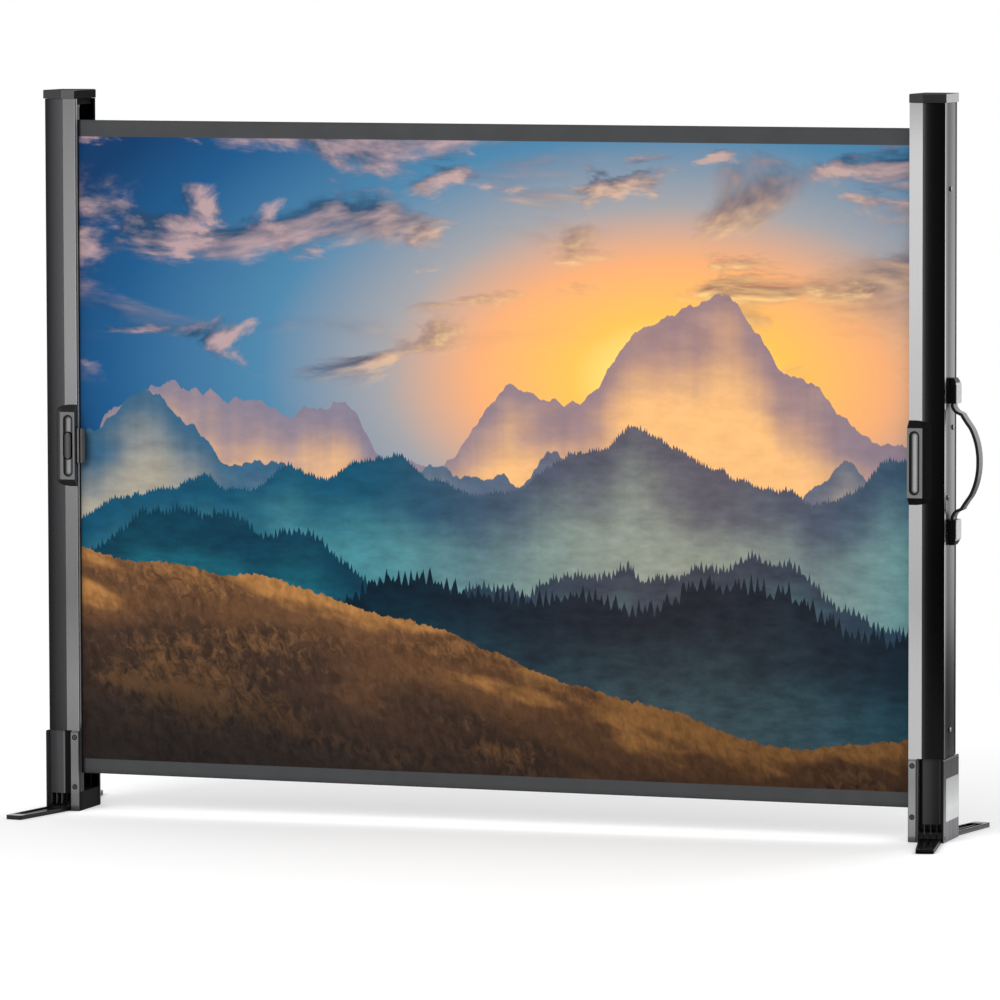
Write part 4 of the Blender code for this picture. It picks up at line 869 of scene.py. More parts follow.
@dataclass(frozen=True)
class PictureCloth(WovenCloth):
    """The screen's front: a generic view of hills at dusk inside a dark border."""

    left: float = 0.0
    right: float = 1.0
    bottom: float = 0.02
    top: float = 0.975
    border: Colour = shade(66, 67, 68)
    sun: tuple[float, float] = (0.97, 0.63)
    ridges: tuple[Ridge, ...] = (
        Ridge(0.560, 0.06, 0.26, 2.3, 11.3, shade(126, 118, 134), shade(232, 178, 122), 0.17, detail=10, mottle=0.10),
        Ridge(0.500, -0.05, 0.22, 2.9, 27.1, shade(52, 92, 120), shade(156, 150, 136), 0.17, detail=10, mottle=0.16),
        Ridge(
            0.43, 0.05, 0.18, 2.2, 5.7, shade(16, 74, 100), shade(64, 126, 136), 0.17,
            trees=0.01, tree_count=210, mottle=0.22, glow=0.34,
        ),
        Ridge(
            0.345, -0.04, 0.16, 2.6, 41.9, shade(8, 54, 74), shade(24, 98, 112), 0.16,
            trees=0.02, tree_count=130, mottle=0.30, glow=0.16,
        ),
        Ridge(
            0.25, 0.02, 0.13, 2.4, 63.2, shade(5, 30, 44), shade(12, 60, 74), 0.20,
            trees=0.036, tree_count=74, mottle=0.35, glow=0.05,
        ),
    )

    def sky(self, graph: Graph, x: Signal, y: Signal) -> Signal:
        """The sky: rings of colour about the low sun, and clouds lit from its side.

        Args:
            graph: the node tree.
            x: across the picture, in heights of it.
            y: up the picture.

        Returns:
            The colour.
        """
        run, rise = x - self.sun[0], y - self.sun[1]
        reach = graph.math("SQRT", run * run * 0.85 + rise * rise * 2.6)
        colour = graph.ramp(
            reach,
            [
                (0.0, shade(255, 250, 205)),
                (0.05, shade(255, 226, 130)),
                (0.16, shade(250, 184, 84)),
                (0.30, shade(232, 164, 112)),
                (0.44, shade(152, 152, 156)),
                (0.62, shade(72, 124, 158)),
                (0.85, shade(26, 82, 128)),
                (1.0, shade(14, 54, 96)),
            ],
        )
        near = graph.step(reach, 0.7, 0.05)
        colour = self.clouds(graph, x, y, colour, near, (2.3, 6.2, 4.4), (0.50, 0.66), (0.66, 0.80))
        return self.clouds(graph, x, y, colour, near, (4.4, 10.5, 9.7), (0.56, 0.68), (0.60, 0.66))

    def clouds(
        self,
        graph: Graph,
        x: Signal,
        y: Signal,
        below: Signal,
        near: Signal,
        scale: tuple[float, float, float],
        edge: tuple[float, float],
        band: tuple[float, float],
    ) -> Signal:
        """Lays one bank of clouds over the sky.

        A cloud is where stretched noise is above an edge. The same noise, read a little
        nearer to the sun, is taken from it, so that the side towards the sun is lit.

        Args:
            graph: the node tree.
            x: across the picture.
            y: up the picture.
            below: the colour behind.
            near: how near the sun is, from 0 to 1.
            scale: lumps across, lumps up, and the seed.
            edge: the noise at which a cloud begins and is full.
            band: the heights between which the bank begins.

        Returns:
            The colour.
        """
        across, up, seed = scale
        here = graph.flat_noise(x * across, y * up, seed, 6.0, 0.58, 0.3)
        shift_x = (self.sun[0] - x) * 0.05
        shift_y = (self.sun[1] - y) * 0.05
        lit_from = graph.flat_noise((x + shift_x) * across, (y + shift_y) * up, seed, 5.0, 0.58, 0.3)
        amount = graph.step(here, *edge) * graph.step(y, *band)
        lit = (0.30 + (here - lit_from) * 5.0 + near * 0.25).clamped()
        dark = graph.mixed(near, shade(36, 66, 96), shade(122, 84, 84))
        bright = graph.mixed(near, shade(178, 150, 150), shade(255, 206, 120))
        return graph.mixed(amount * 0.9, below, graph.mixed(lit, dark, bright))

    def ridge(self, graph: Graph, x: Signal, y: Signal, below: Signal, hill: Ridge) -> Signal:
        """Lays one ridge over what is behind it.

        The crest is a line of rough noise about a slope, with a row of pointed trees of
        uneven height on it. Below the crest the colour fades into the valley's mist.

        Args:
            graph: the node tree.
            x: across the picture.
            y: up the picture.
            below: the colour behind.
            hill: the ridge.

        Returns:
            The colour.
        """
        line = graph.line_noise(x * hill.scale, hill.seed, hill.detail, hill.roughness)
        crest = hill.base + x * hill.slope + (line - 0.5) * (hill.rise * 2)
        depth = crest - y
        over = depth + self.tree_line(graph, x, hill) if hill.trees else depth
        shown = graph.step(over, -0.0012, 0.0012)
        grain = graph.flat_noise(x * 26.0, y * 58.0, hill.seed, 4.0, 0.62)
        patch = graph.flat_noise(x * 5.0, y * 11.0, hill.seed + 3.0, 2.0, 0.5)
        fall = graph.step(depth + (patch - 0.5) * (hill.depth * 0.8), 0.0, hill.depth)
        near = graph.step(abs(x - self.sun[0]), 0.55, 0.0)
        foot = graph.mixed(near * hill.glow, hill.foot, shade(250, 186, 104))
        crest_colour = graph.mixed(near * (hill.glow * 0.5), hill.crest, shade(196, 120, 60))
        tone = 1.0 + (grain - 0.5) * (hill.mottle * 3.2)
        colour = graph.mixed(fall, crest_colour, graph.mixed(0.35, foot, hill.foot))
        colour = graph.toned(colour, tone)
        return graph.mixed(shown, below, colour)

    def tree_line(self, graph: Graph, x: Signal, hill: Ridge) -> Signal:
        """Pointed tops: in each of two rows a saw of triangles, each of its own height."""
        rows = []
        for row, stretch in enumerate((1.0, 1.37)):
            along = x * (hill.tree_count * stretch) + (hill.seed + row * 0.5)
            cell = graph.math("FLOOR", along)
            peak = 1.0 - abs((along - cell) * 2.0 - 1.0)
            height = graph.first("ShaderNodeTexWhiteNoise", {"W": cell + row * 17.0}, noise_dimensions="1D")
            rows.append(peak * (height * 0.75 + 0.25))
        return graph.math("MAXIMUM", *rows) * hill.trees

    def heath(self, graph: Graph, x: Signal, y: Signal, below: Signal) -> Signal:
        """Lays the near slope of dry grass over the hills, high on the left.

        Args:
            graph: the node tree.
            x: across the picture.
            y: up the picture.
            below: the colour behind.

        Returns:
            The colour.
        """
        line = graph.line_noise(x * 2.4, 81.0, 5.0, 0.5)
        tufts = graph.flat_noise(x * 120.0, y * 30.0, 3.0, 2.0, 0.6)
        crest = 0.335 - graph.step(x, 0.0, 1.25) * 0.27 + (line - 0.5) * 0.10 + tufts * 0.012
        depth = crest - y
        lean = y * 46.0 - x * 14.0
        grass = graph.flat_noise(x * 70.0 + y * 30.0, lean, 7.0, 5.0, 0.68, 0.4)
        swell = graph.flat_noise(x * 2.6, y * 7.5 + x * 2.0, 15.0, 4.0, 0.5)
        base = graph.ramp(
            (depth * 2.1 + (swell - 0.5) * 0.9).clamped(),
            [
                (0.0, shade(172, 120, 68)),
                (0.07, shade(110, 76, 50)),
                (0.26, shade(70, 51, 40)),
                (0.60, shade(44, 36, 32)),
                (1.0, shade(24, 22, 25)),
            ],
        )
        tone = (0.26 + grass * 1.1) * graph.step(x, 0.35, 1.15, 1.0, 0.42)
        colour = graph.toned(base, tone)
        lit = graph.step(swell + grass * 0.35, 0.70, 0.92) * graph.step(depth, 0.30, 0.02)
        colour = graph.mixed(lit * graph.step(x, 0.3, 1.2, 0.32, 0.08), colour, shade(214, 150, 84))
        return graph.mixed(graph.step(depth, -0.001, 0.001), below, colour)

    def picture(self, graph: Graph, u: Signal, v: Signal) -> Signal:
        """The whole picture, from the sky to the near slope."""
        x, y = u * (self.width / self.height), v + 0.0
        colour = self.sky(graph, x, y)
        for hill in self.ridges:
            colour = self.ridge(graph, x, y, colour, hill)
        return self.heath(graph, x, y, colour)

    def dress(self, graph: Graph, shader: bpy.types.Node) -> None:
        """Puts the picture inside the border, with a painted shadow of the lip on the border's left end, and the weave
        over both.
        """
        u, v = graph.surface()
        inside_u = (u - self.left) / (self.right - self.left)
        inside_v = (v - self.bottom) / (self.top - self.bottom)
        colour = self.picture(graph, inside_u, inside_v)
        edge = 0.0006
        inside = (
            graph.step(u, self.left - edge, self.left + edge)
            * graph.step(u, self.right + edge, self.right - edge)
            * graph.step(v, self.bottom - edge, self.bottom + edge)
            * graph.step(v, self.top + edge, self.top - edge)
        )
        cloud = graph.noise(graph.joined(u * self.width, v * self.height), 24.0, 4.0, 0.6)
        tone = 0.85 + cloud * 0.3
        # Painted shadow of the housing's lip on the border at its left edge
        tone = tone * graph.step(u, self.left, self.left + 4.0 * MM / self.width, 0.15, 1.0)
        border = graph.toned(self.border, tone)
        graph.put(graph.mixed(inside, border, colour), shader.inputs["Base Color"])
        graph.put(graph.bump(self.weave(graph, u, v), 0.03 * MM, 0.25), shader.inputs["Normal"])


# What every finish of the left column has in common
LEFTWARDS = {"parting_x": LEFT_PARTING_X, "outwards": -1.0}
WHITE = (1.0, 1.0, 1.0)
ALUMINIUM = (0.64, 0.645, 0.65)
EXTRUSION = (0.885, 0.88, 0.89)
SILVER = DrawnAluminium("silver_anodised", "anodised_aluminium", ALUMINIUM, 0.30, metallic=1.0)
# Both extrusions are one anodised metal; their strip tones by height are painted reflection, bright on the right and
# darker on the left
RIGHT_SILVER = HousingAluminium(
    "right_extrusion",
    "anodised_aluminium",
    EXTRUSION,
    0.24,
    metallic=1.0,
    strip_heights=(
        (0.10, 1.06), (0.166, 0.94), (0.22, 0.88), (0.285, 0.78), (0.332, 0.84), (0.44, 0.92), (0.50, 0.97),
        (0.56, 1.00), (0.64, 1.06), (0.80, 1.06), (0.83, 1.00), (0.87, 0.72),
    ),
)
LEFT_SILVER = HousingAluminium(
    "left_extrusion",
    "anodised_aluminium",
    EXTRUSION,
    0.24,
    metallic=1.0,
    **LEFTWARDS,
    # A lighter lip end and a stronger edge highlight, both painted
    lip_tone=0.32,
    edge_highlight=1.5,
    strip_heights=(
        (0.10, 0.46), (0.162, 0.50), (0.26, 0.42), (0.358, 0.50), (0.46, 0.60), (0.555, 0.68), (0.63, 0.66),
        (0.75, 0.61), (0.84, 0.51), (0.87, 0.48),
    ),
)
# The two plates are one grey metal, the left one painted darker as shade
RIGHT_PLATE = DrilledPlate(
    "right_plate", "grey_metal", (0.50, 0.505, 0.51), 0.34, metallic=1.0, screw_x=RIGHT_PARTING_X + 5.15 * MM
)
LEFT_PLATE = DrilledPlate(
    "left_plate",
    "grey_metal",
    (0.33, 0.332, 0.336),
    0.34,
    metallic=1.0,
    screw_x=LEFT_PARTING_X - 5.15 * MM,
    end_share=1.1,
)
CLAMP_GREY = DrawnAluminium("clamp_grey", "grey_metal", (0.085, 0.086, 0.088), 0.45, metallic=1.0)
# The covers are one gloss black; their tones outwards and at each height are painted reflection, and the right cover's
# back edge a painted highlight
RIGHT_COVER = PanelPlastic(
    "right_gloss_panel",
    "gloss_black_cover",
    (0.0045, 0.0045, 0.005),
    0.17,
    specular=0.25,
    grain=2.2 * MM,
    relief=0.01 * MM,
    depths=pairs(
        MM, (16.9, 14.0), (18.1, 10.0), (19.3, 5.5), (20.5, 3.4), (21.8, 2.4), (24, 1.6), (28, 1.0),
        (40.6, 0.5), (41.1, 0.02), (41.5, 0.02),
    ),
    heights=((0.10, 0.40), (0.33, 0.40), (0.43, 0.80), (0.50, 0.90), (0.87, 1.0)),
    back_edge=40.0,
)
LEFT_COVER = PanelPlastic(
    "left_gloss_panel",
    "gloss_black_cover",
    (0.0045, 0.0045, 0.005),
    0.17,
    specular=0.25,
    grain=2.2 * MM,
    relief=0.01 * MM,
    **LEFTWARDS,
    depths=pairs(MM, (16.3, 12.0), (19, 10.0), (24, 7.5), (30, 4.5), (35, 2.0), (38, 1.0), (41.5, 1.2)),
    heights=((0.10, 0.62), (0.26, 0.55), (0.36, 0.65), (0.60, 0.95), (0.87, 1.0)),
)
PLASTIC_BLACK = (0.0095, 0.0095, 0.010)
MATT_BLACK = MouldedPlastic("moulded_black", "black_plastic", PLASTIC_BLACK, 0.34)
# The feet are one black plastic, each with its own painted light and shade
FEET = {
    "right_front": FootPlastic("right_front_foot_black", "black_plastic", PLASTIC_BLACK, 0.22, side_shade=0.93),
    "right_back": FootPlastic(
        "right_back_foot_black",
        "black_plastic",
        PLASTIC_BLACK,
        0.26,
        painted_side_share=15.0,
        top_shade=1.0,
        outer_edge=11.3 * MM - RIGHT_PARTING_X,
    ),
    "left_front": FootPlastic("left_front_foot_black", "black_plastic", PLASTIC_BLACK, 0.22, side_shade=0.7),
    "left_back": FootPlastic(
        "left_back_foot_black", "black_plastic", PLASTIC_BLACK, 0.26, side_shade=0.5, top_shade=0.5
    ),
}
# Black for the painted shade in screw recesses and at their rims, and the plug's own black
SHADE_AND_PLUG_BLACK = MouldedPlastic("recess_black", "black_plastic", (0.004, 0.004, 0.004), 0.9, specular=0.1)
# Both blocks are one black plastic; their tones across the front and on the side are painted light and shade, and each
# groove is painted shade
RIGHT_BLOCK = BlockPlastic(
    "right_block_black",
    "black_plastic",
    PLASTIC_BLACK,
    0.34,
    specular=0.3,
    painted_side_share=4.2,
    groove_shade=pairs(MM, (10.8, 0.9), (11.0, 0.0), (12.2, 0.0), (12.7, 0.8), (15.6, 0.8), (16.4, 0.0)),
    depths=pairs(
        MM, (0.0, 1.0), (10.7, 1.0), (11.0, 11.0), (12.0, 9.0), (12.6, 1.0), (13.1, 0.5), (15.9, 0.5),
        (16.8, 2.4), (17.8, 4.0), (24, 2.8), (30, 1.4), (34.5, 1.0), (35.6, 1.4), (36.5, 3.2), (37.6, 1.2),
        (38.8, 0.2), (43.5, 0.3),
    ),
)
LEFT_BLOCK = BlockPlastic(
    "left_block_black",
    "black_plastic",
    PLASTIC_BLACK,
    0.34,
    specular=0.3,
    **LEFTWARDS,
    painted_side_share=3.5,
    groove_shade=pairs(MM, (10.6, 0.0), (10.9, 0.6), (19.8, 0.6), (20.4, 0.0)),
    depths=pairs(
        MM, (0.0, 0.3), (10.7, 1.0), (11.6, 0.3), (19.9, 0.4), (20.6, 5.0), (21.6, 14.0), (22.2, 13.0),
        (22.9, 5.4), (28.0, 5.2), (31, 4.9), (34, 4.6), (36.6, 4.8), (39.5, 6.0), (41.5, 5.0), (43.5, 5.0),
    ),
)
CAP_COLOUR = (0.010, 0.010, 0.0105)
# Both caps are one black plastic; the right cap's bright end face is a painted reflection, and each cap's other shares
# painted light and shade
RIGHT_CAP = CapPlastic(
    "right_cap_black",
    "black_plastic",
    CAP_COLOUR,
    0.26,
    front_share=2.4,
    slope_share=2.2,
    painted_side_share=42.0,
    inner_share=0.2,
)
LEFT_CAP = CapPlastic(
    "left_cap_black",
    "black_plastic",
    CAP_COLOUR,
    0.30,
    specular=0.3,
    **LEFTWARDS,
    front_share=8.0,
    slope_share=2.6,
    inner_share=0.2,
)
# The handle's ends are black, with a strong painted sheen on their outer faces
HANDLE_BLACK = HandlePlastic(
    "handle_black",
    "black_plastic",
    (0.004, 0.004, 0.0042),
    0.30,
    specular=0.08,
    pale=160.0,
    pale_start=50.4 * MM,
    pale_end=51.6 * MM,
    edge=-11.6 * MM,
)
# Each grip's scoop colour is a painted highlight
RIGHT_GRIP = GripPlastic(
    "right_grip_plastic",
    "black_plastic",
    (0.003, 0.003, 0.0032),
    0.34,
    specular=0.13,
    scoop_x=RIGHT_PARTING_X + 9.0 * MM,
    face_colour=(0.15, 0.15, 0.152),
    scoop_highlight=(0.34, 0.34, 0.345),
)
LEFT_GRIP = GripPlastic(
    "left_grip_plastic",
    "black_plastic",
    (0.005, 0.005, 0.0052),
    0.34,
    specular=0.3,
    **LEFTWARDS,
    scoop_x=LEFT_PARTING_X - 8.6 * MM,
    face_colour=(0.14, 0.14, 0.142),
    scoop_highlight=(0.24, 0.24, 0.243),
)
# The button and the latch are one grey plastic; their tones across the width are painted light and shade
BUTTON_GREY = RidgedPlastic(
    "button_plastic",
    "black_plastic",
    (0.030, 0.030, 0.031),
    0.32,
    specular=0.3,
    **LEFTWARDS,
    middle_x=9.3 * MM,
    half_width=5.3 * MM,
    half_height=17.0 * MM,
    depths=pairs(MM, (4.0, 0.6), (6.4, 1.3), (9.6, 3.0), (12.0, 1.4), (14.6, 0.6)),
)
LATCH_GREY = RidgedPlastic(
    "latch_plastic",
    "black_plastic",
    (0.030, 0.030, 0.031),
    0.32,
    specular=0.3,
    **LEFTWARDS,
    gap=(-5.0 * MM, -3.7 * MM),
    depths=pairs(
        MM, (-11.8, 0.6), (-10.8, 1.2), (-8.0, 1.5), (-6.6, 3.2), (-5.4, 1.6), (-4.4, 0.1), (-3.4, 2.0),
        (-2.8, 6.0), (-1.5, 6.0), (-0.8, 0.2), (0.0, 0.1), (14.0, 0.1),
    ),
)
# The strap is black rubber, with a weaker painted sheen set by height
RUBBER = HandlePlastic(
    "strap_rubber",
    "black_rubber",
    (0.010, 0.010, 0.0105),
    0.34,
    specular=0.2,
    pale=26.0,
    pale_start=44 * MM,
    pale_end=45 * MM,
    edge=-8.6 * MM,
    heights=((0.38, 0.5), (0.41, 0.42), (0.45, 0.7), (0.48, 0.85), (0.52, 1.0)),
)
WHITE_MOULDED = MouldedPlastic("white_moulded", "white_plastic", (0.78, 0.78, 0.76), 0.45, variation=0.08)
STEEL = TurnedSteel("bright_steel", "steel", (0.62, 0.62, 0.63), 0.28, metallic=1.0)
SCREW_STEEL = TurnedSteel("blackened_steel", "steel", (0.30, 0.30, 0.305), 0.34, metallic=1.0)
# The bare plate's tones at each height are a painted reflection
LABEL_GREY = PanelPlastic(
    "bare_plate",
    "grey_metal",
    (0.66, 0.665, 0.67),
    0.34,
    variation=0.22,
    grain=3.0 * MM,
    back_edge=1.0,
    heights=((0.024, 1.25), (0.040, 1.30), (0.056, 1.0), (0.075, 0.76)),
)
BACKING = WovenCloth("cloth_back", "matte_white_fabric", (0.035, 0.035, 0.038), 0.85, specular=0.2)


# Surfaces


def grid_faces(rows: int, columns: int, close_columns: bool = False) -> np.ndarray:
    """The four-cornered faces of a grid of points that is stored row by row.

    Args:
        rows: how many rows of points there are.
        columns: how many points there are in a row.
        close_columns: whether each row is a closed ring.

    Returns:
        One row of four point numbers for each face.
    """
    row = np.arange(rows - 1)[:, None]
    column = np.arange(columns if close_columns else columns - 1)[None, :]
    beside = (column + 1) % columns
    low, high = row * columns, (row + 1) * columns
    corners = (low + column, low + beside, high + beside, high + column)
    return np.stack(np.broadcast_arrays(*corners), axis=-1).reshape(-1, 4)


def add_object(name: str, data: bpy.types.ID) -> bpy.types.Object:
    """A new object in the scene, for a mesh, a lamp or a camera."""
    made = bpy.data.objects.new(name, data)
    bpy.context.scene.collection.objects.link(made)
    return made


def mesh_object(
    name: str,
    points: np.ndarray,
    faces: list[np.ndarray],
    finishes: list[Finish],
    places: Optional[np.ndarray] = None,
    smooth: bool = True,
) -> bpy.types.Object:
    """A new object at the origin, from points and faces.

    Args:
        name: the piece's name.
        points: one row of x, y and z for each point, in metres.
        faces: arrays of point numbers, one row for each face.
        finishes: the finishes, the first one on every face.
        places: the two places of each point on the cloth, where it has them.
        smooth: whether the faces shade smoothly.

    Returns:
        The object.
    """
    mesh = bpy.data.meshes.new(name)
    listed = [face for group in faces for face in group.tolist()]
    mesh.from_pydata(points.tolist(), [], listed)
    if places is not None:
        layer = mesh.uv_layers.new(name="UVMap")
        corner = np.zeros(len(mesh.loops), dtype=np.int32)
        mesh.loops.foreach_get("vertex_index", corner)
        layer.data.foreach_set("uv", places[corner].astype(np.float32).ravel())
    for finish in finishes:
        mesh.materials.append(finish.material())
    mesh.polygons.foreach_set("use_smooth", np.full(len(mesh.polygons), smooth))
    mesh.update()
    return add_object(name, mesh)


def sharpen(piece: bpy.types.Object, degrees: float = 32.0) -> None:
    """Marks the edges sharper than an angle, so that smooth shading stops there.

    Args:
        piece: the object.
        degrees: the angle between the two faces of an edge.
    """
    piece.data.set_sharp_from_angle(angle=math.radians(degrees))


def closed_ends(rings: int, around: int) -> list[np.ndarray]:
    """The side faces of stacked rings, with a flat face on the first and the last."""
    first = np.arange(around)[::-1][None, :]
    last = (np.arange(around) + (rings - 1) * around)[None, :]
    return [grid_faces(rings, around, True), first, last]


def smooth_path(points: np.ndarray, steps: int) -> np.ndarray:
    """Points on a smooth curve through the given ones.

    Between two given points the curve is the cubic whose slope at each of them is half
    the way from its neighbour before to its neighbour after.

    Args:
        points: one row for each given point.
        steps: how many points there are from one given point to the next.

    Returns:
        One row for each point on the curve.
    """
    before = np.vstack((points[:1], points[:-2]))
    after = np.vstack((points[2:], points[-1:]))
    t = (np.arange(steps) / steps)[None, :, None]
    a, b, c, d = (p[:, None, :] for p in (before, points[:-1], points[1:], after))
    curve = 0.5 * (2 * b + (c - a) * t + (2 * a - 5 * b + 4 * c - d) * t**2 + (3 * b - a - 3 * c + d) * t**3)
    return np.vstack((curve.reshape(-1, points.shape[1]), points[-1:]))


# Sub-assemblies


class Side(Enum):
    """Which of the two columns: the body it is, its parting face, and which way it goes outwards."""

    RIGHT = ("roller_column", RIGHT_PARTING_X, 1.0)
    LEFT = ("pull_column", LEFT_PARTING_X, -1.0)

    @property
    def body(self) -> str:
        """The CAD body."""
        return self.value[0]

    def across(self, outwards: float) -> float:
        """The world x of a distance outwards from the parting face."""
        return self.value[1] + self.value[2] * outwards


@dataclass
class Screw:
    """A cross-recessed screw head, flat and sunk or low and domed, with a stub of its shank."""

    radius: float = 2.45 * MM
    dome: float = 0.15 * MM
    sink: float = 1.4 * MM
    shank_radius: float = 1.35 * MM
    shank: float = 0.8 * MM
    recess_width: float = 0.85 * MM
    recess_reach: float = 1.9 * MM
    recess_depth: float = 0.8 * MM
    wall: float = 0.12 * MM
    # Past this share of the radius the head takes painted shade
    shaded_rim: float = 0.78
    around: int = 40
    rings: int = 14
    finish: Finish = SCREW_STEEL

    def build(self, name: str, middle: Vector, facing: Vector, turn: float) -> bpy.types.Object:
        """Makes one head.

        The top is a height over rings and angles: the dome falls with the square of the
        distance from the middle, and the cross is cut where the point is nearer than half
        the recess's width to either of two lines, less deep towards its ends. Painted shade:
        the faces deep in the cross, and those at the rim and below it, take the dark finish.

        Args:
            name: the piece's name.
            middle: the middle of the head's flat rim, on the surface.
            facing: the way the head faces.
            turn: how far the cross is turned, in degrees.

        Returns:
            The object.
        """
        reach = np.linspace(0.02, 1.0, self.rings)[:, None] * self.radius
        angle = np.linspace(0, math.tau, self.around, endpoint=False)[None, :]
        x, y = reach * np.cos(angle), reach * np.sin(angle)
        height = self.dome * (1 - (reach / self.radius) ** 2) + 0 * angle
        far = np.maximum(np.abs(x), np.abs(y))
        slot = np.clip((self.recess_width / 2 - np.minimum(np.abs(x), np.abs(y))) / (0.12 * MM) + 0.5, 0, 1)
        depth = np.clip((self.recess_reach - far) / (0.7 * MM), 0, 1) * self.recess_depth
        top = np.stack((x, y, height - slot * depth), axis=-1)
        rim = np.stack((x[-1], y[-1]), axis=-1)
        under = [(1.0, -self.wall / 2), (1.0, -self.wall), (self.shank_radius / self.radius, -self.sink)]
        under.append((self.shank_radius / self.radius, -self.sink - self.shank))
        below = [np.column_stack((rim * share, np.full(self.around, z))) for share, z in under]
        points = np.vstack((top.reshape(-1, 3), *below))
        rings = self.rings + len(under)
        faces = [f[:, ::-1] for f in closed_ends(rings, self.around)]
        out = facing.normalized()
        up = Vector((0, 0, 1))
        side = up.cross(out).normalized()
        basis = Matrix((side, up, out)).transposed() @ Matrix.Rotation(math.radians(turn), 3, "Z")
        world = points @ np.array(basis).T + np.array(middle)
        made = mesh_object(name, world, faces, [self.finish, SHADE_AND_PLUG_BLACK])
        # Painted shade in the cross and past the shaded rim
        cut = (slot * depth > 0.3 * self.recess_depth) | (reach > self.shaded_rim * self.radius)
        number = np.zeros(len(made.data.polygons), dtype=np.int32)
        number[: (self.rings - 1) * self.around] = (cut[:-1] & cut[1:]).ravel()
        number[self.rings * self.around : (self.rings + 1) * self.around] = 1
        number[(rings - 1) * self.around] = 1
        made.data.polygons.foreach_set("material_index", number)
        sharpen(made, 40)
        return made

    def fix(self, name: str, side: Side, place: Pose, facing: Pose, turn: float) -> bpy.types.Object:
        """Makes one head and fixes it to a column.

        Args:
            name: the piece's name.
            side: the column.
            place: how far out, back and up the middle of its rim is.
            facing: the way the head faces.
            turn: how far the cross is turned, in degrees.

        Returns:
            The object.
        """
        made = self.build(name, Vector((side.across(place[0]), *place[1:])), Vector(facing), turn)
        LOG.info("made %s", name)
        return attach(made, side.body)


@dataclass
class Column:
    """One column with all that is fixed to it: the finishes of its CAD pieces and its screws."""

    side: Side
    finishes: dict[str, Finish]
    plate_screw_x: float = 5.15 * MM
    plate_screw_z: tuple[float, ...] = (30 * MM, 91 * MM)
    plate_face_y: float = 37.15 * MM
    block_face: float = 43.5 * MM
    plug_place: tuple[float, float] = (-30.0 * MM, 4.9 * MM)
    screw: Screw = field(default_factory=Screw)

    def dress(self) -> None:
        """Gives each CAD piece of the column its finish."""
        for name, finish in self.finishes.items():
            node = frame["nodes"][name]
            node.data.materials.clear()
            node.data.materials.append(finish.material())
            LOG.info("finished %s with %s", name, finish.name)

    def fix_plates(self) -> None:
        """Puts the two countersunk screws into the front plate and the back plate."""
        number = 0
        for face, y in (("front", -self.plate_face_y), ("back", self.plate_face_y)):
            for z in self.plate_screw_z:
                number += 1
                name = f"{self.side.name.lower()}_{face}_plate_screw_{number}"
                facing = (0, math.copysign(1, y), 0)
                self.screw.fix(name, self.side, (self.plate_screw_x, y, z), facing, 17.0 + number * 31)

    def plug(self) -> None:
        """Puts the small dark plug into the foot of the block's outer side."""
        name = f"{self.side.name.lower()}_block_plug"
        head = Screw(radius=2.4 * MM, dome=0.3 * MM, sink=0.2 * MM, shank_radius=0.9 * MM, finish=SHADE_AND_PLUG_BLACK)
        head.fix(name, self.side, (self.block_face, *self.plug_place), (self.side.value[2], 0, 0), 0.0)

    def build(self) -> None:
        """Dresses the column, fixes its plates and plugs its block."""
        self.dress()
        self.fix_plates()
        self.plug()


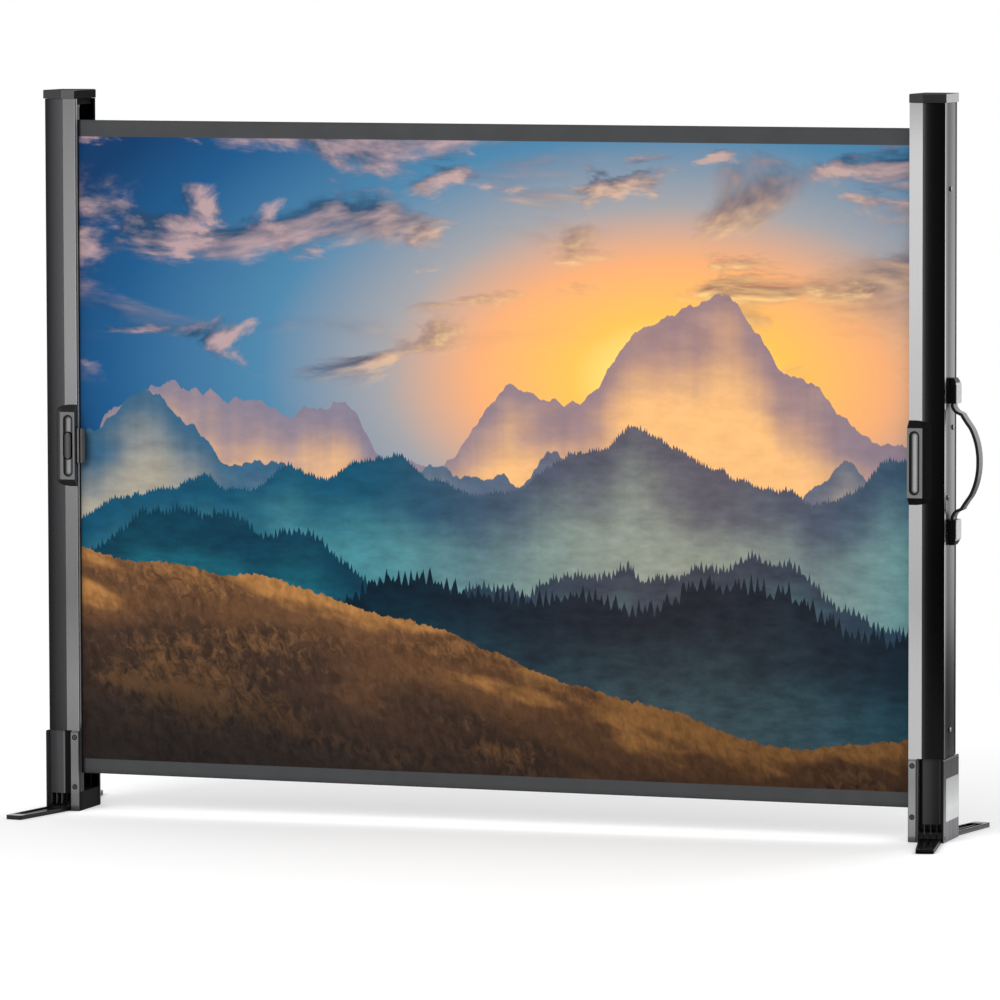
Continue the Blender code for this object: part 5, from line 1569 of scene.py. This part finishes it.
@dataclass
class RightExtras:
    """What only the right column has: the strap, the side screws and the bare plate."""

    side: Side = Side.RIGHT
    column_width: float = 41.5 * MM
    strap_rise: float = 35.4 * MM
    strap_half: float = 68.5 * MM
    strap_middle: float = 450 * MM
    strap_shares: Pairs = (
        (0.125, 1.0), (0.135, 0.94), (0.235, 0.865), (0.40, 0.822), (0.445, 0.808), (0.47, 0.782), (0.60, 0.68),
        (0.77, 0.55), (0.915, 0.35), (0.985, 0.16), (1.0, 0.0),
    )
    strap_thickness: float = 3.6 * MM
    strap_half_width: float = 10.8 * MM
    side_face: float = 41.12 * MM
    side_screw_rise: float = 1.2 * MM
    side_screws: Pairs = ((0.0, 771.6 * MM), (12 * MM, 489.5 * MM), (-12 * MM, 407.6 * MM), (0.0, 131.2 * MM))
    label_y: tuple[float, float] = (-25.5 * MM, 33.5 * MM)
    label_z: tuple[float, float] = (24 * MM, 75 * MM)
    label_thickness: float = 0.35 * MM
    label_corner: float = 1.2 * MM
    block_face: float = 43.5 * MM

    def strap(self) -> bpy.types.Object:
        """Makes the bowed strap.

        A rounded flat section is carried along the smooth bow. The section is the curve
        whose two sizes, each to the sixth power, add up to one, so its edges are round.

        Returns:
            The object.
        """
        upper = np.array([(self.column_width + self.strap_rise * o, self.strap_half * u) for o, u in self.strap_shares])
        lower = upper[-2::-1] * (1, -1)
        path = smooth_path(np.vstack((upper, lower)), 8)
        run = np.gradient(path, axis=0)
        run /= np.linalg.norm(run, axis=1, keepdims=True)
        across = np.column_stack((-run[:, 1], run[:, 0]))
        angle = np.linspace(0, math.tau, 36, endpoint=False)
        wide = np.sign(np.cos(angle)) * np.abs(np.cos(angle)) ** 0.34 * self.strap_half_width
        thick = np.sign(np.sin(angle)) * np.abs(np.sin(angle)) ** 0.34 * self.strap_thickness / 2
        out = path[:, None, 0] + across[:, None, 0] * thick[None, :]
        up = path[:, None, 1] + across[:, None, 1] * thick[None, :]
        points = np.stack(
            (self.side.value[1] + out, np.broadcast_to(wide, out.shape), self.strap_middle + up), axis=-1
        ).reshape(-1, 3)
        made = mesh_object("carry_strap", points, closed_ends(len(path), len(angle)), [RUBBER])
        mend_normals(made)
        sharpen(made, 60)
        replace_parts(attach(made, self.side.body), "handle_strap")
        return made

    def label(self) -> bpy.types.Object:
        """Makes the bare plate on the block's side: a thin slab with rounded corners."""
        corner = np.linspace(0, math.pi / 2, 7)
        (low_y, high_y), (low_z, high_z) = self.label_y, self.label_z
        inset = self.label_corner
        middles = ((high_y - inset, high_z - inset), (low_y + inset, high_z - inset))
        middles += ((low_y + inset, low_z + inset), (high_y - inset, low_z + inset))
        turns = [corner + k * math.pi / 2 for k in range(4)]
        arcs = [(y + inset * np.cos(turn), z + inset * np.sin(turn)) for turn, (y, z) in zip(turns, middles)]
        outline = np.vstack([np.column_stack(arc) for arc in arcs])
        x = self.side.across(self.block_face)
        slabs = [np.column_stack((np.full(len(outline), x + d), outline)) for d in (0.0, self.label_thickness)]
        faces = closed_ends(2, len(outline))
        made = mesh_object("base_side_plate", np.vstack(slabs), faces, [LABEL_GREY], smooth=False)
        mend_normals(made)
        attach(made, self.side.body)
        return made

    def build(self) -> None:
        """Makes the strap, the side screws and the plate."""
        LOG.info("made %s", self.strap().name)
        sizes = {"radius": 3.1 * MM, "dome": 1.0 * MM, "wall": 1.3 * MM, "sink": 1.4 * MM}
        head = Screw(**sizes, recess_depth=0.6 * MM, shaded_rim=0.92, finish=STEEL)
        outwards = self.side_face + self.side_screw_rise
        for number, (y, z) in enumerate(self.side_screws, 1):
            head.fix(f"right_side_screw_{number}", self.side, (outwards, y, z), (1, 0, 0), 12.0 + 37 * number)
        LOG.info("made %s", self.label().name)


@dataclass
class LeftExtras:
    """What only the left column has: the clamp bar's small screw, and the hook's return spring."""

    side: Side = Side.LEFT
    place: tuple[float, float, float] = (2.1 * MM, -23.95 * MM, 37.5 * MM)
    spring_middle: tuple[float, float] = (8.6 * MM, 450 * MM)
    spring_ends: tuple[float, float] = (-35.0 * MM, -28.34 * MM)
    spring_radius: float = 2.6 * MM
    spring_wire: float = 0.3 * MM
    spring_turns: int = 5
    spring_keep: float = 0.7

    def screw(self) -> bpy.types.Object:
        """Makes the small screw that holds the clamp bar."""
        sizes = {"radius": 1.3 * MM, "dome": 0.5 * MM, "sink": 0.2 * MM, "shank_radius": 0.9 * MM}
        head = Screw(**sizes, recess_reach=0.9 * MM, finish=STEEL)
        return head.fix("clamp_screw", self.side, self.place, (0, -1, 0), 20.0)

    def spring(self) -> bpy.types.Object:
        """Makes the coil spring behind the hook.

        The wire's middle turns about Y as it goes from the front end to the back end. A
        round section stands across it, between the way out from the coil's middle and
        the way that is square to both that and the wire.

        Returns:
            The object.
        """
        outwards, z = self.spring_middle
        first, last = self.spring_ends
        share = np.linspace(0, 1, self.spring_turns * 36 + 1)
        angle = share * self.spring_turns * math.tau
        away = np.column_stack((np.cos(angle), np.zeros_like(angle), np.sin(angle)))
        rise = last - first - 2 * self.spring_wire
        middle = away * self.spring_radius
        middle[:, 1] = first + self.spring_wire + rise * share
        run = np.gradient(middle, axis=0)
        run /= np.linalg.norm(run, axis=1, keepdims=True)
        beside = np.cross(run, away)
        turn = np.linspace(0, math.tau, 10, endpoint=False)[None, :, None]
        rings = middle[:, None] + self.spring_wire * (np.cos(turn) * away[:, None] + np.sin(turn) * beside[:, None])
        points = rings.reshape(-1, 3) + (self.side.across(outwards), 0, z)
        made = mesh_object("hook_return_spring", points, closed_ends(len(share), 10), [STEEL])
        mend_normals(made)
        sharpen(made, 60)
        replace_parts(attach(made, self.side.body), "latch_spring")
        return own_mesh(made, "hook_swing", (0, 1, 0), (self.side.across(outwards), last, z), self.spring_keep)

    def build(self) -> None:
        """Makes the screw and the spring."""
        self.screw()
        LOG.info("made %s", self.spring().name)


def mend_normals(piece: bpy.types.Object) -> None:
    """Turns every face of a closed piece outwards, after merging its doubled points."""
    work = bmesh.new()
    work.from_mesh(piece.data)
    bmesh.ops.remove_doubles(work, verts=work.verts, dist=1e-7)
    bmesh.ops.recalc_face_normals(work, faces=work.faces)
    work.to_mesh(piece.data)
    work.free()


@dataclass
class Screen:
    """The stretched cloth and what stays wound on the roller."""

    left_x: float = -1079.55 * MM
    right_x: float = -1.25 * MM
    middle_y: float = -24.5 * MM
    thickness: float = 0.5 * MM
    left_edges: tuple[float, float] = (46.4 * MM, 847.6 * MM)
    right_edges: tuple[float, float] = (39.6 * MM, 843.4 * MM)
    picture_left_x: float = -1070.6 * MM
    picture_right_x: float = -14.0 * MM
    bottom_border: float = 18.0 * MM
    top_border: float = 20.3 * MM
    ripple: float = 0.12 * MM
    columns: int = 220
    rows: int = 120
    roller_x: float = -1.25 * MM
    roller_y: float = -8.4 * MM
    roll_radius: float = 15.3 * MM
    roll_pitch: float = 1.0 * MM
    roll_turns: float = 2.25

    @property
    def width(self) -> float:
        """The cut width of the part that is drawn out."""
        return self.right_x - self.left_x

    @property
    def height(self) -> float:
        """The cut height."""
        return self.right_edges[1] - self.right_edges[0]

    def front(self) -> PictureCloth:
        """The finish of the cloth's front."""
        return PictureCloth(
            "cloth_front",
            "matte_white_fabric",
            (0.8, 0.8, 0.8),
            0.8,
            specular=0.15,
            width=self.width,
            height=self.height,
            left=(self.picture_left_x - self.left_x) / self.width,
            right=(self.picture_right_x - self.left_x) / self.width,
            bottom=self.bottom_border / self.height,
            top=1 - self.top_border / self.height,
        )

    def cloth(self) -> bpy.types.Object:
        """Makes the stretched cloth.

        A point u across and v up lies at x from the left edge to the right, and at z from
        the lower edge to the upper one, both of which run straight from side to side. It
        stands off the plane by a slow wave across times a slower one up, less than the
        cloth's own thickness.

        Returns:
            The object.
        """
        u, v = np.meshgrid(np.linspace(0, 1, self.columns), np.linspace(0, 1, self.rows))
        x = self.left_x + u * self.width
        low = self.left_edges[0] + u * (self.right_edges[0] - self.left_edges[0])
        high = self.left_edges[1] + u * (self.right_edges[1] - self.left_edges[1])
        wave = np.sin(u * 23.0 + v * 2.0) * np.sin(v * 5.0 + 0.6) * np.sin(u * math.pi)
        y = self.middle_y + self.ripple * wave
        points = np.stack((x, y, low + v * (high - low)), axis=-1).reshape(-1, 3)
        places = np.stack((u, v), axis=-1).reshape(-1, 2)
        faces = [grid_faces(self.rows, self.columns)]
        made = mesh_object("screen_cloth", points, faces, [self.front(), BACKING], places)
        thicken(made, self.thickness)
        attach(made, Side.RIGHT.body)
        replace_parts(made, "screen_fabric")
        keep = (self.width - SLIDE_TRAVEL) / self.width
        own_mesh(made)
        return made

    def roll(self) -> bpy.types.Object:
        """Makes the wound cloth: a spiral about the roller, the same all the way up.

        The angle runs on from the roller's front and the radius falls by one pitch in
        each turn.

        Returns:
            The object.
        """
        turns = np.linspace(0, self.roll_turns, round(self.roll_turns * 72) + 1)
        heights = np.linspace(*self.right_edges, 3)
        angle = -math.pi / 2 + math.tau * turns
        radius = self.roll_radius - self.roll_pitch * turns
        x = self.roller_x + radius * np.cos(angle)
        y = self.roller_y + radius * np.sin(angle)
        points = np.stack(np.broadcast_arrays(x[None, :], y[None, :], heights[:, None]), axis=-1).reshape(-1, 3)
        length = float(np.hypot(np.diff(x), np.diff(y)).sum())
        v, u = np.meshgrid(np.linspace(0, 1, 3), turns / self.roll_turns, indexing="ij")
        places = np.stack((u, v), axis=-1).reshape(-1, 2)
        size = {"width": length, "height": self.height}
        finish = WovenCloth("cloth_wound", "matte_white_fabric", (0.76, 0.76, 0.75), 0.85, specular=0.2, **size)
        made = mesh_object("roll_cloth", points, [grid_faces(3, len(turns))], [finish, BACKING], places)
        thicken(made, self.thickness)
        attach(made, "roller")
        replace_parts(made, "fabric_roll")
        return made

    def build(self) -> None:
        """Makes both cloths."""
        for made in (self.cloth(), self.roll()):
            LOG.info("made %s", made.name)


def thicken(piece: bpy.types.Object, thickness: float) -> None:
    """Gives a sheet its thickness, half to each side, with the second finish behind."""
    solid = piece.modifiers.new("thickness", "SOLIDIFY")
    solid.thickness = thickness
    solid.offset = 0.0
    solid.use_even_offset = True
    solid.material_offset = 1
    solid.material_offset_rim = 1


# Studio


@dataclass
class Studio:
    """The camera, the light and the floor."""

    camera_place: tuple[float, float, float] = (2.13745, -8.2575, 1.0706)
    yaw: float = 17.9623
    pitch: float = 4.4702
    roll: float = -0.1473
    lens: float = 260.03
    middle: tuple[float, float] = (-0.54, 0.0)
    floor_radius: float = 1.9
    diffuse_level: float = 0.70
    # How much darker the floor is in a reflection, and how much light it adds for the camera
    floor_dimming: float = 0.50
    floor_lift: float = 0.13
    card_glow: float = 0.14
    # Brightness seen in a reflection, by azimuth from the front in degrees
    surroundings: Pairs = (
        (-180, 1.00), (-100, 1.00), (-78, 0.45), (-64, 0.60), (-52, 1.45), (-34, 1.95), (-29, 0.60),
        (-25, 0.30), (-20, 0.36), (-16, 0.92), (-2, 0.95), (3, 0.25), (9, 0.05), (60, 0.05), (90, 0.50),
        (110, 1.00), (180, 1.00),
    )
    flag_low: tuple[float, float] = (0.10, 0.95)
    flag_high: tuple[float, float] = (1.10, 2.40)

    def set_camera(self) -> None:
        """Puts the camera where the photograph was taken, level but for its small roll."""
        a, t, r = (math.radians(v) for v in (self.yaw, self.pitch, self.roll))
        right = Vector((math.cos(a), math.sin(a), 0))
        ahead = Vector((-math.sin(a) * math.cos(t), math.cos(a) * math.cos(t), -math.sin(t)))
        up = right.cross(ahead)
        across = right * math.cos(r) + up * math.sin(r)
        above = up * math.cos(r) - right * math.sin(r)
        data = bpy.data.cameras.new("camera")
        data.lens, data.sensor_width = self.lens, 36.0
        data.clip_end = 60.0
        made = add_object("camera", data)
        turned = Matrix((across, above, -ahead)).transposed().to_4x4()
        made.matrix_world = Matrix.Translation(self.camera_place) @ turned
        bpy.context.scene.camera = made
        LOG.info("made the camera")

    def set_world(self) -> None:
        """Makes the surroundings: white behind for the camera, boxes of light in reflections."""
        world = bpy.data.worlds.new("studio")
        world.use_nodes = True
        bpy.context.scene.world = world
        graph = Graph(world.node_tree)
        path = graph.node("ShaderNodeLightPath")
        direction = graph.node("ShaderNodeTexCoord").outputs["Generated"]
        x, y, z = graph.parts(Signal(graph, direction))
        azimuth = graph.math("ARCTAN2", x, y * -1.0)
        stops = [((a + 180) / 360, (b / 2,) * 3) for a, b in self.surroundings]
        seen = graph.first("ShaderNodeRGBToBW", {0: graph.ramp(azimuth / math.tau + 0.5, stops)})
        height = graph.step(z, 0.30, 0.55)
        front = graph.step(y, 0.1, -0.1)
        low = 1.0 - front * graph.step(z, -0.045, -0.16) * 0.75
        boxes = (seen * 2.0) * (1.0 - height) * low + height * 0.6
        glossy = Signal(graph, path.outputs["Is Glossy Ray"])
        camera = Signal(graph, path.outputs["Is Camera Ray"])
        level = self.diffuse_level + glossy * (boxes - self.diffuse_level)
        level = level + camera * (1.0 - level)
        background = graph.first("ShaderNodeBackground", {"Color": WHITE, "Strength": level})
        graph.node("ShaderNodeOutputWorld", {"Surface": background})

    def set_lamp(self, name: str, place: Vector, aim: Vector, size: float, power: float) -> None:
        """Hangs one broad lamp that lights without showing in a reflection.

        Args:
            name: the lamp's name.
            place: where it hangs.
            aim: what it points at.
            size: its side.
            power: its power in watts.
        """
        data = bpy.data.lights.new(name, "AREA")
        data.shape, data.size, data.energy = "SQUARE", size, power
        made = add_object(name, data)
        made.location = place
        made.rotation_mode = "QUATERNION"
        made.rotation_quaternion = (aim - place).to_track_quat("-Z", "Y")
        made.visible_glossy = False
        made.visible_camera = False
        LOG.info("made %s", name)

    def set_floor(self) -> None:
        """Lays the pale floor: matt near the object, and the background's white further out."""
        around = np.linspace(0, math.tau, 64, endpoint=False)
        ring = np.column_stack((np.cos(around), np.sin(around))) * self.floor_radius + self.middle
        points = np.column_stack((ring, np.full(64, -0.2 * MM)))
        floor = bpy.data.meshes.new("floor")
        floor.from_pydata(points.tolist(), [], [list(range(64))])
        material = bpy.data.materials.new("pale_floor")
        material.use_nodes = True
        graph = Graph(material.node_tree)
        x, y, _ = graph.place()
        reach = graph.reach(x - self.middle[0], y - self.middle[1])
        path = graph.node("ShaderNodeLightPath")
        camera = Signal(graph, path.outputs["Is Camera Ray"])
        tone = 0.93 - Signal(graph, path.outputs["Is Glossy Ray"]) * self.floor_dimming
        share = graph.step(reach, 0.95, 1.7) * camera
        matt = graph.first("ShaderNodeBsdfDiffuse", {"Color": graph.joined(tone, tone, tone)})
        lift = graph.first("ShaderNodeEmission", {"Color": WHITE, "Strength": camera * self.floor_lift})
        near = graph.first("ShaderNodeAddShader", {0: matt, 1: lift})
        white = graph.first("ShaderNodeEmission", {"Color": WHITE, "Strength": 1.0})
        mixed = graph.first("ShaderNodeMixShader", {0: share, 1: near, 2: white})
        graph.node("ShaderNodeOutputMaterial", {"Surface": mixed})
        floor.materials.append(material)
        add_object("floor", floor)
        LOG.info("made the floor")

    def set_flag(self) -> None:
        """Lays a dark card behind and to the right, which only reflections show."""
        (x0, y0), (x1, y1) = self.flag_low, self.flag_high
        card = bpy.data.meshes.new("dark_card")
        card.from_pydata([(x0, y0, MM), (x1, y0, MM), (x1, y1, MM), (x0, y1, MM)], [], [(0, 1, 2, 3)])
        material = bpy.data.materials.new("dark_card")
        material.use_nodes = True
        graph = Graph(material.node_tree)
        dark = graph.first("ShaderNodeEmission", {"Color": WHITE, "Strength": self.card_glow})
        graph.node("ShaderNodeOutputMaterial", {"Surface": dark})
        card.materials.append(material)
        made = add_object("dark_card", card)
        made.visible_camera = made.visible_diffuse = made.visible_shadow = False
        LOG.info("made the dark card")

    def build(self) -> None:
        """Sets the camera, the world, the lamps, the floor and the dark card."""
        self.set_camera()
        self.set_world()
        self.set_lamp("front_lamp", Vector((-1.6, -4.2, 2.6)), Vector((-0.55, 0, 0.45)), 2.6, 130.0)
        self.set_lamp("back_lamp", Vector((0.6, 3.6, 3.0)), Vector((-0.55, 0, 0.4)), 2.6, 70.0)
        self.set_floor()
        self.set_flag()
        bpy.context.scene.view_settings.view_transform = "Standard"


def column_finishes(side: str) -> dict[str, Finish]:
    """The finish of each CAD piece that both columns have.

    Args:
        side: right or left.

    Returns:
        The finishes by the piece's name.
    """
    right = side == "right"
    made: dict[str, Finish] = {
        f"{side}_housing": RIGHT_SILVER if right else LEFT_SILVER,
        f"{side}_top_cap": RIGHT_CAP if right else LEFT_CAP,
        f"{side}_base_block": RIGHT_BLOCK if right else LEFT_BLOCK,
        f"{side}_grip": RIGHT_GRIP if right else LEFT_GRIP,
    }
    for place in ("front", "back"):
        made[f"{side}_{place}_cover"] = RIGHT_COVER if right else LEFT_COVER
        made[f"{side}_{place}_plate"] = RIGHT_PLATE if right else LEFT_PLATE
        made[f"{side}_{place}_foot"] = FEET[f"{side}_{place}"]
        made[f"{side}_{place}_foot_pin"] = STEEL
    return made


RIGHT_WORKS: dict[str, Finish] = {
    "handle_upper_end": HANDLE_BLACK,
    "handle_lower_end": HANDLE_BLACK,
    "roller_tube": SILVER,
    "roller_top_plug": WHITE_MOULDED,
    "roller_bottom_plug": WHITE_MOULDED,
    "spring_drive_plug": WHITE_MOULDED,
    "roller_top_bracket": WHITE_MOULDED,
    "roller_bottom_bracket": WHITE_MOULDED,
    "spring_mandrel": STEEL,
    "roller_spring": STEEL,
    "handle_strap": RUBBER,
    "fabric_roll": BACKING,
    "screen_fabric": BACKING,
}
LEFT_WORKS: dict[str, Finish] = {
    "clamp_bar": CLAMP_GREY,
    "clamp_jaw": CLAMP_GREY,
    "clamp_top_clip": MATT_BLACK,
    "latch_button": BUTTON_GREY,
    "latch_hook": LATCH_GREY,
    "latch_pin": STEEL,
    "latch_spring": STEEL,
    "latch_spring_seat": STEEL,
}


def main() -> None:
    """Builds every sub-assembly in order."""
    logging.basicConfig(level=logging.INFO, format="%(message)s")
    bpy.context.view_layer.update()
    builders: list[Callable[[], None]] = [
        Column(Side.RIGHT, column_finishes("right") | RIGHT_WORKS).build,
        Column(Side.LEFT, column_finishes("left") | LEFT_WORKS).build,
        RightExtras().build,
        LeftExtras().build,
        Screen().build,
        Studio().build,
    ]
    for build in builders:
        build()


if __name__ == "__main__":
    main()
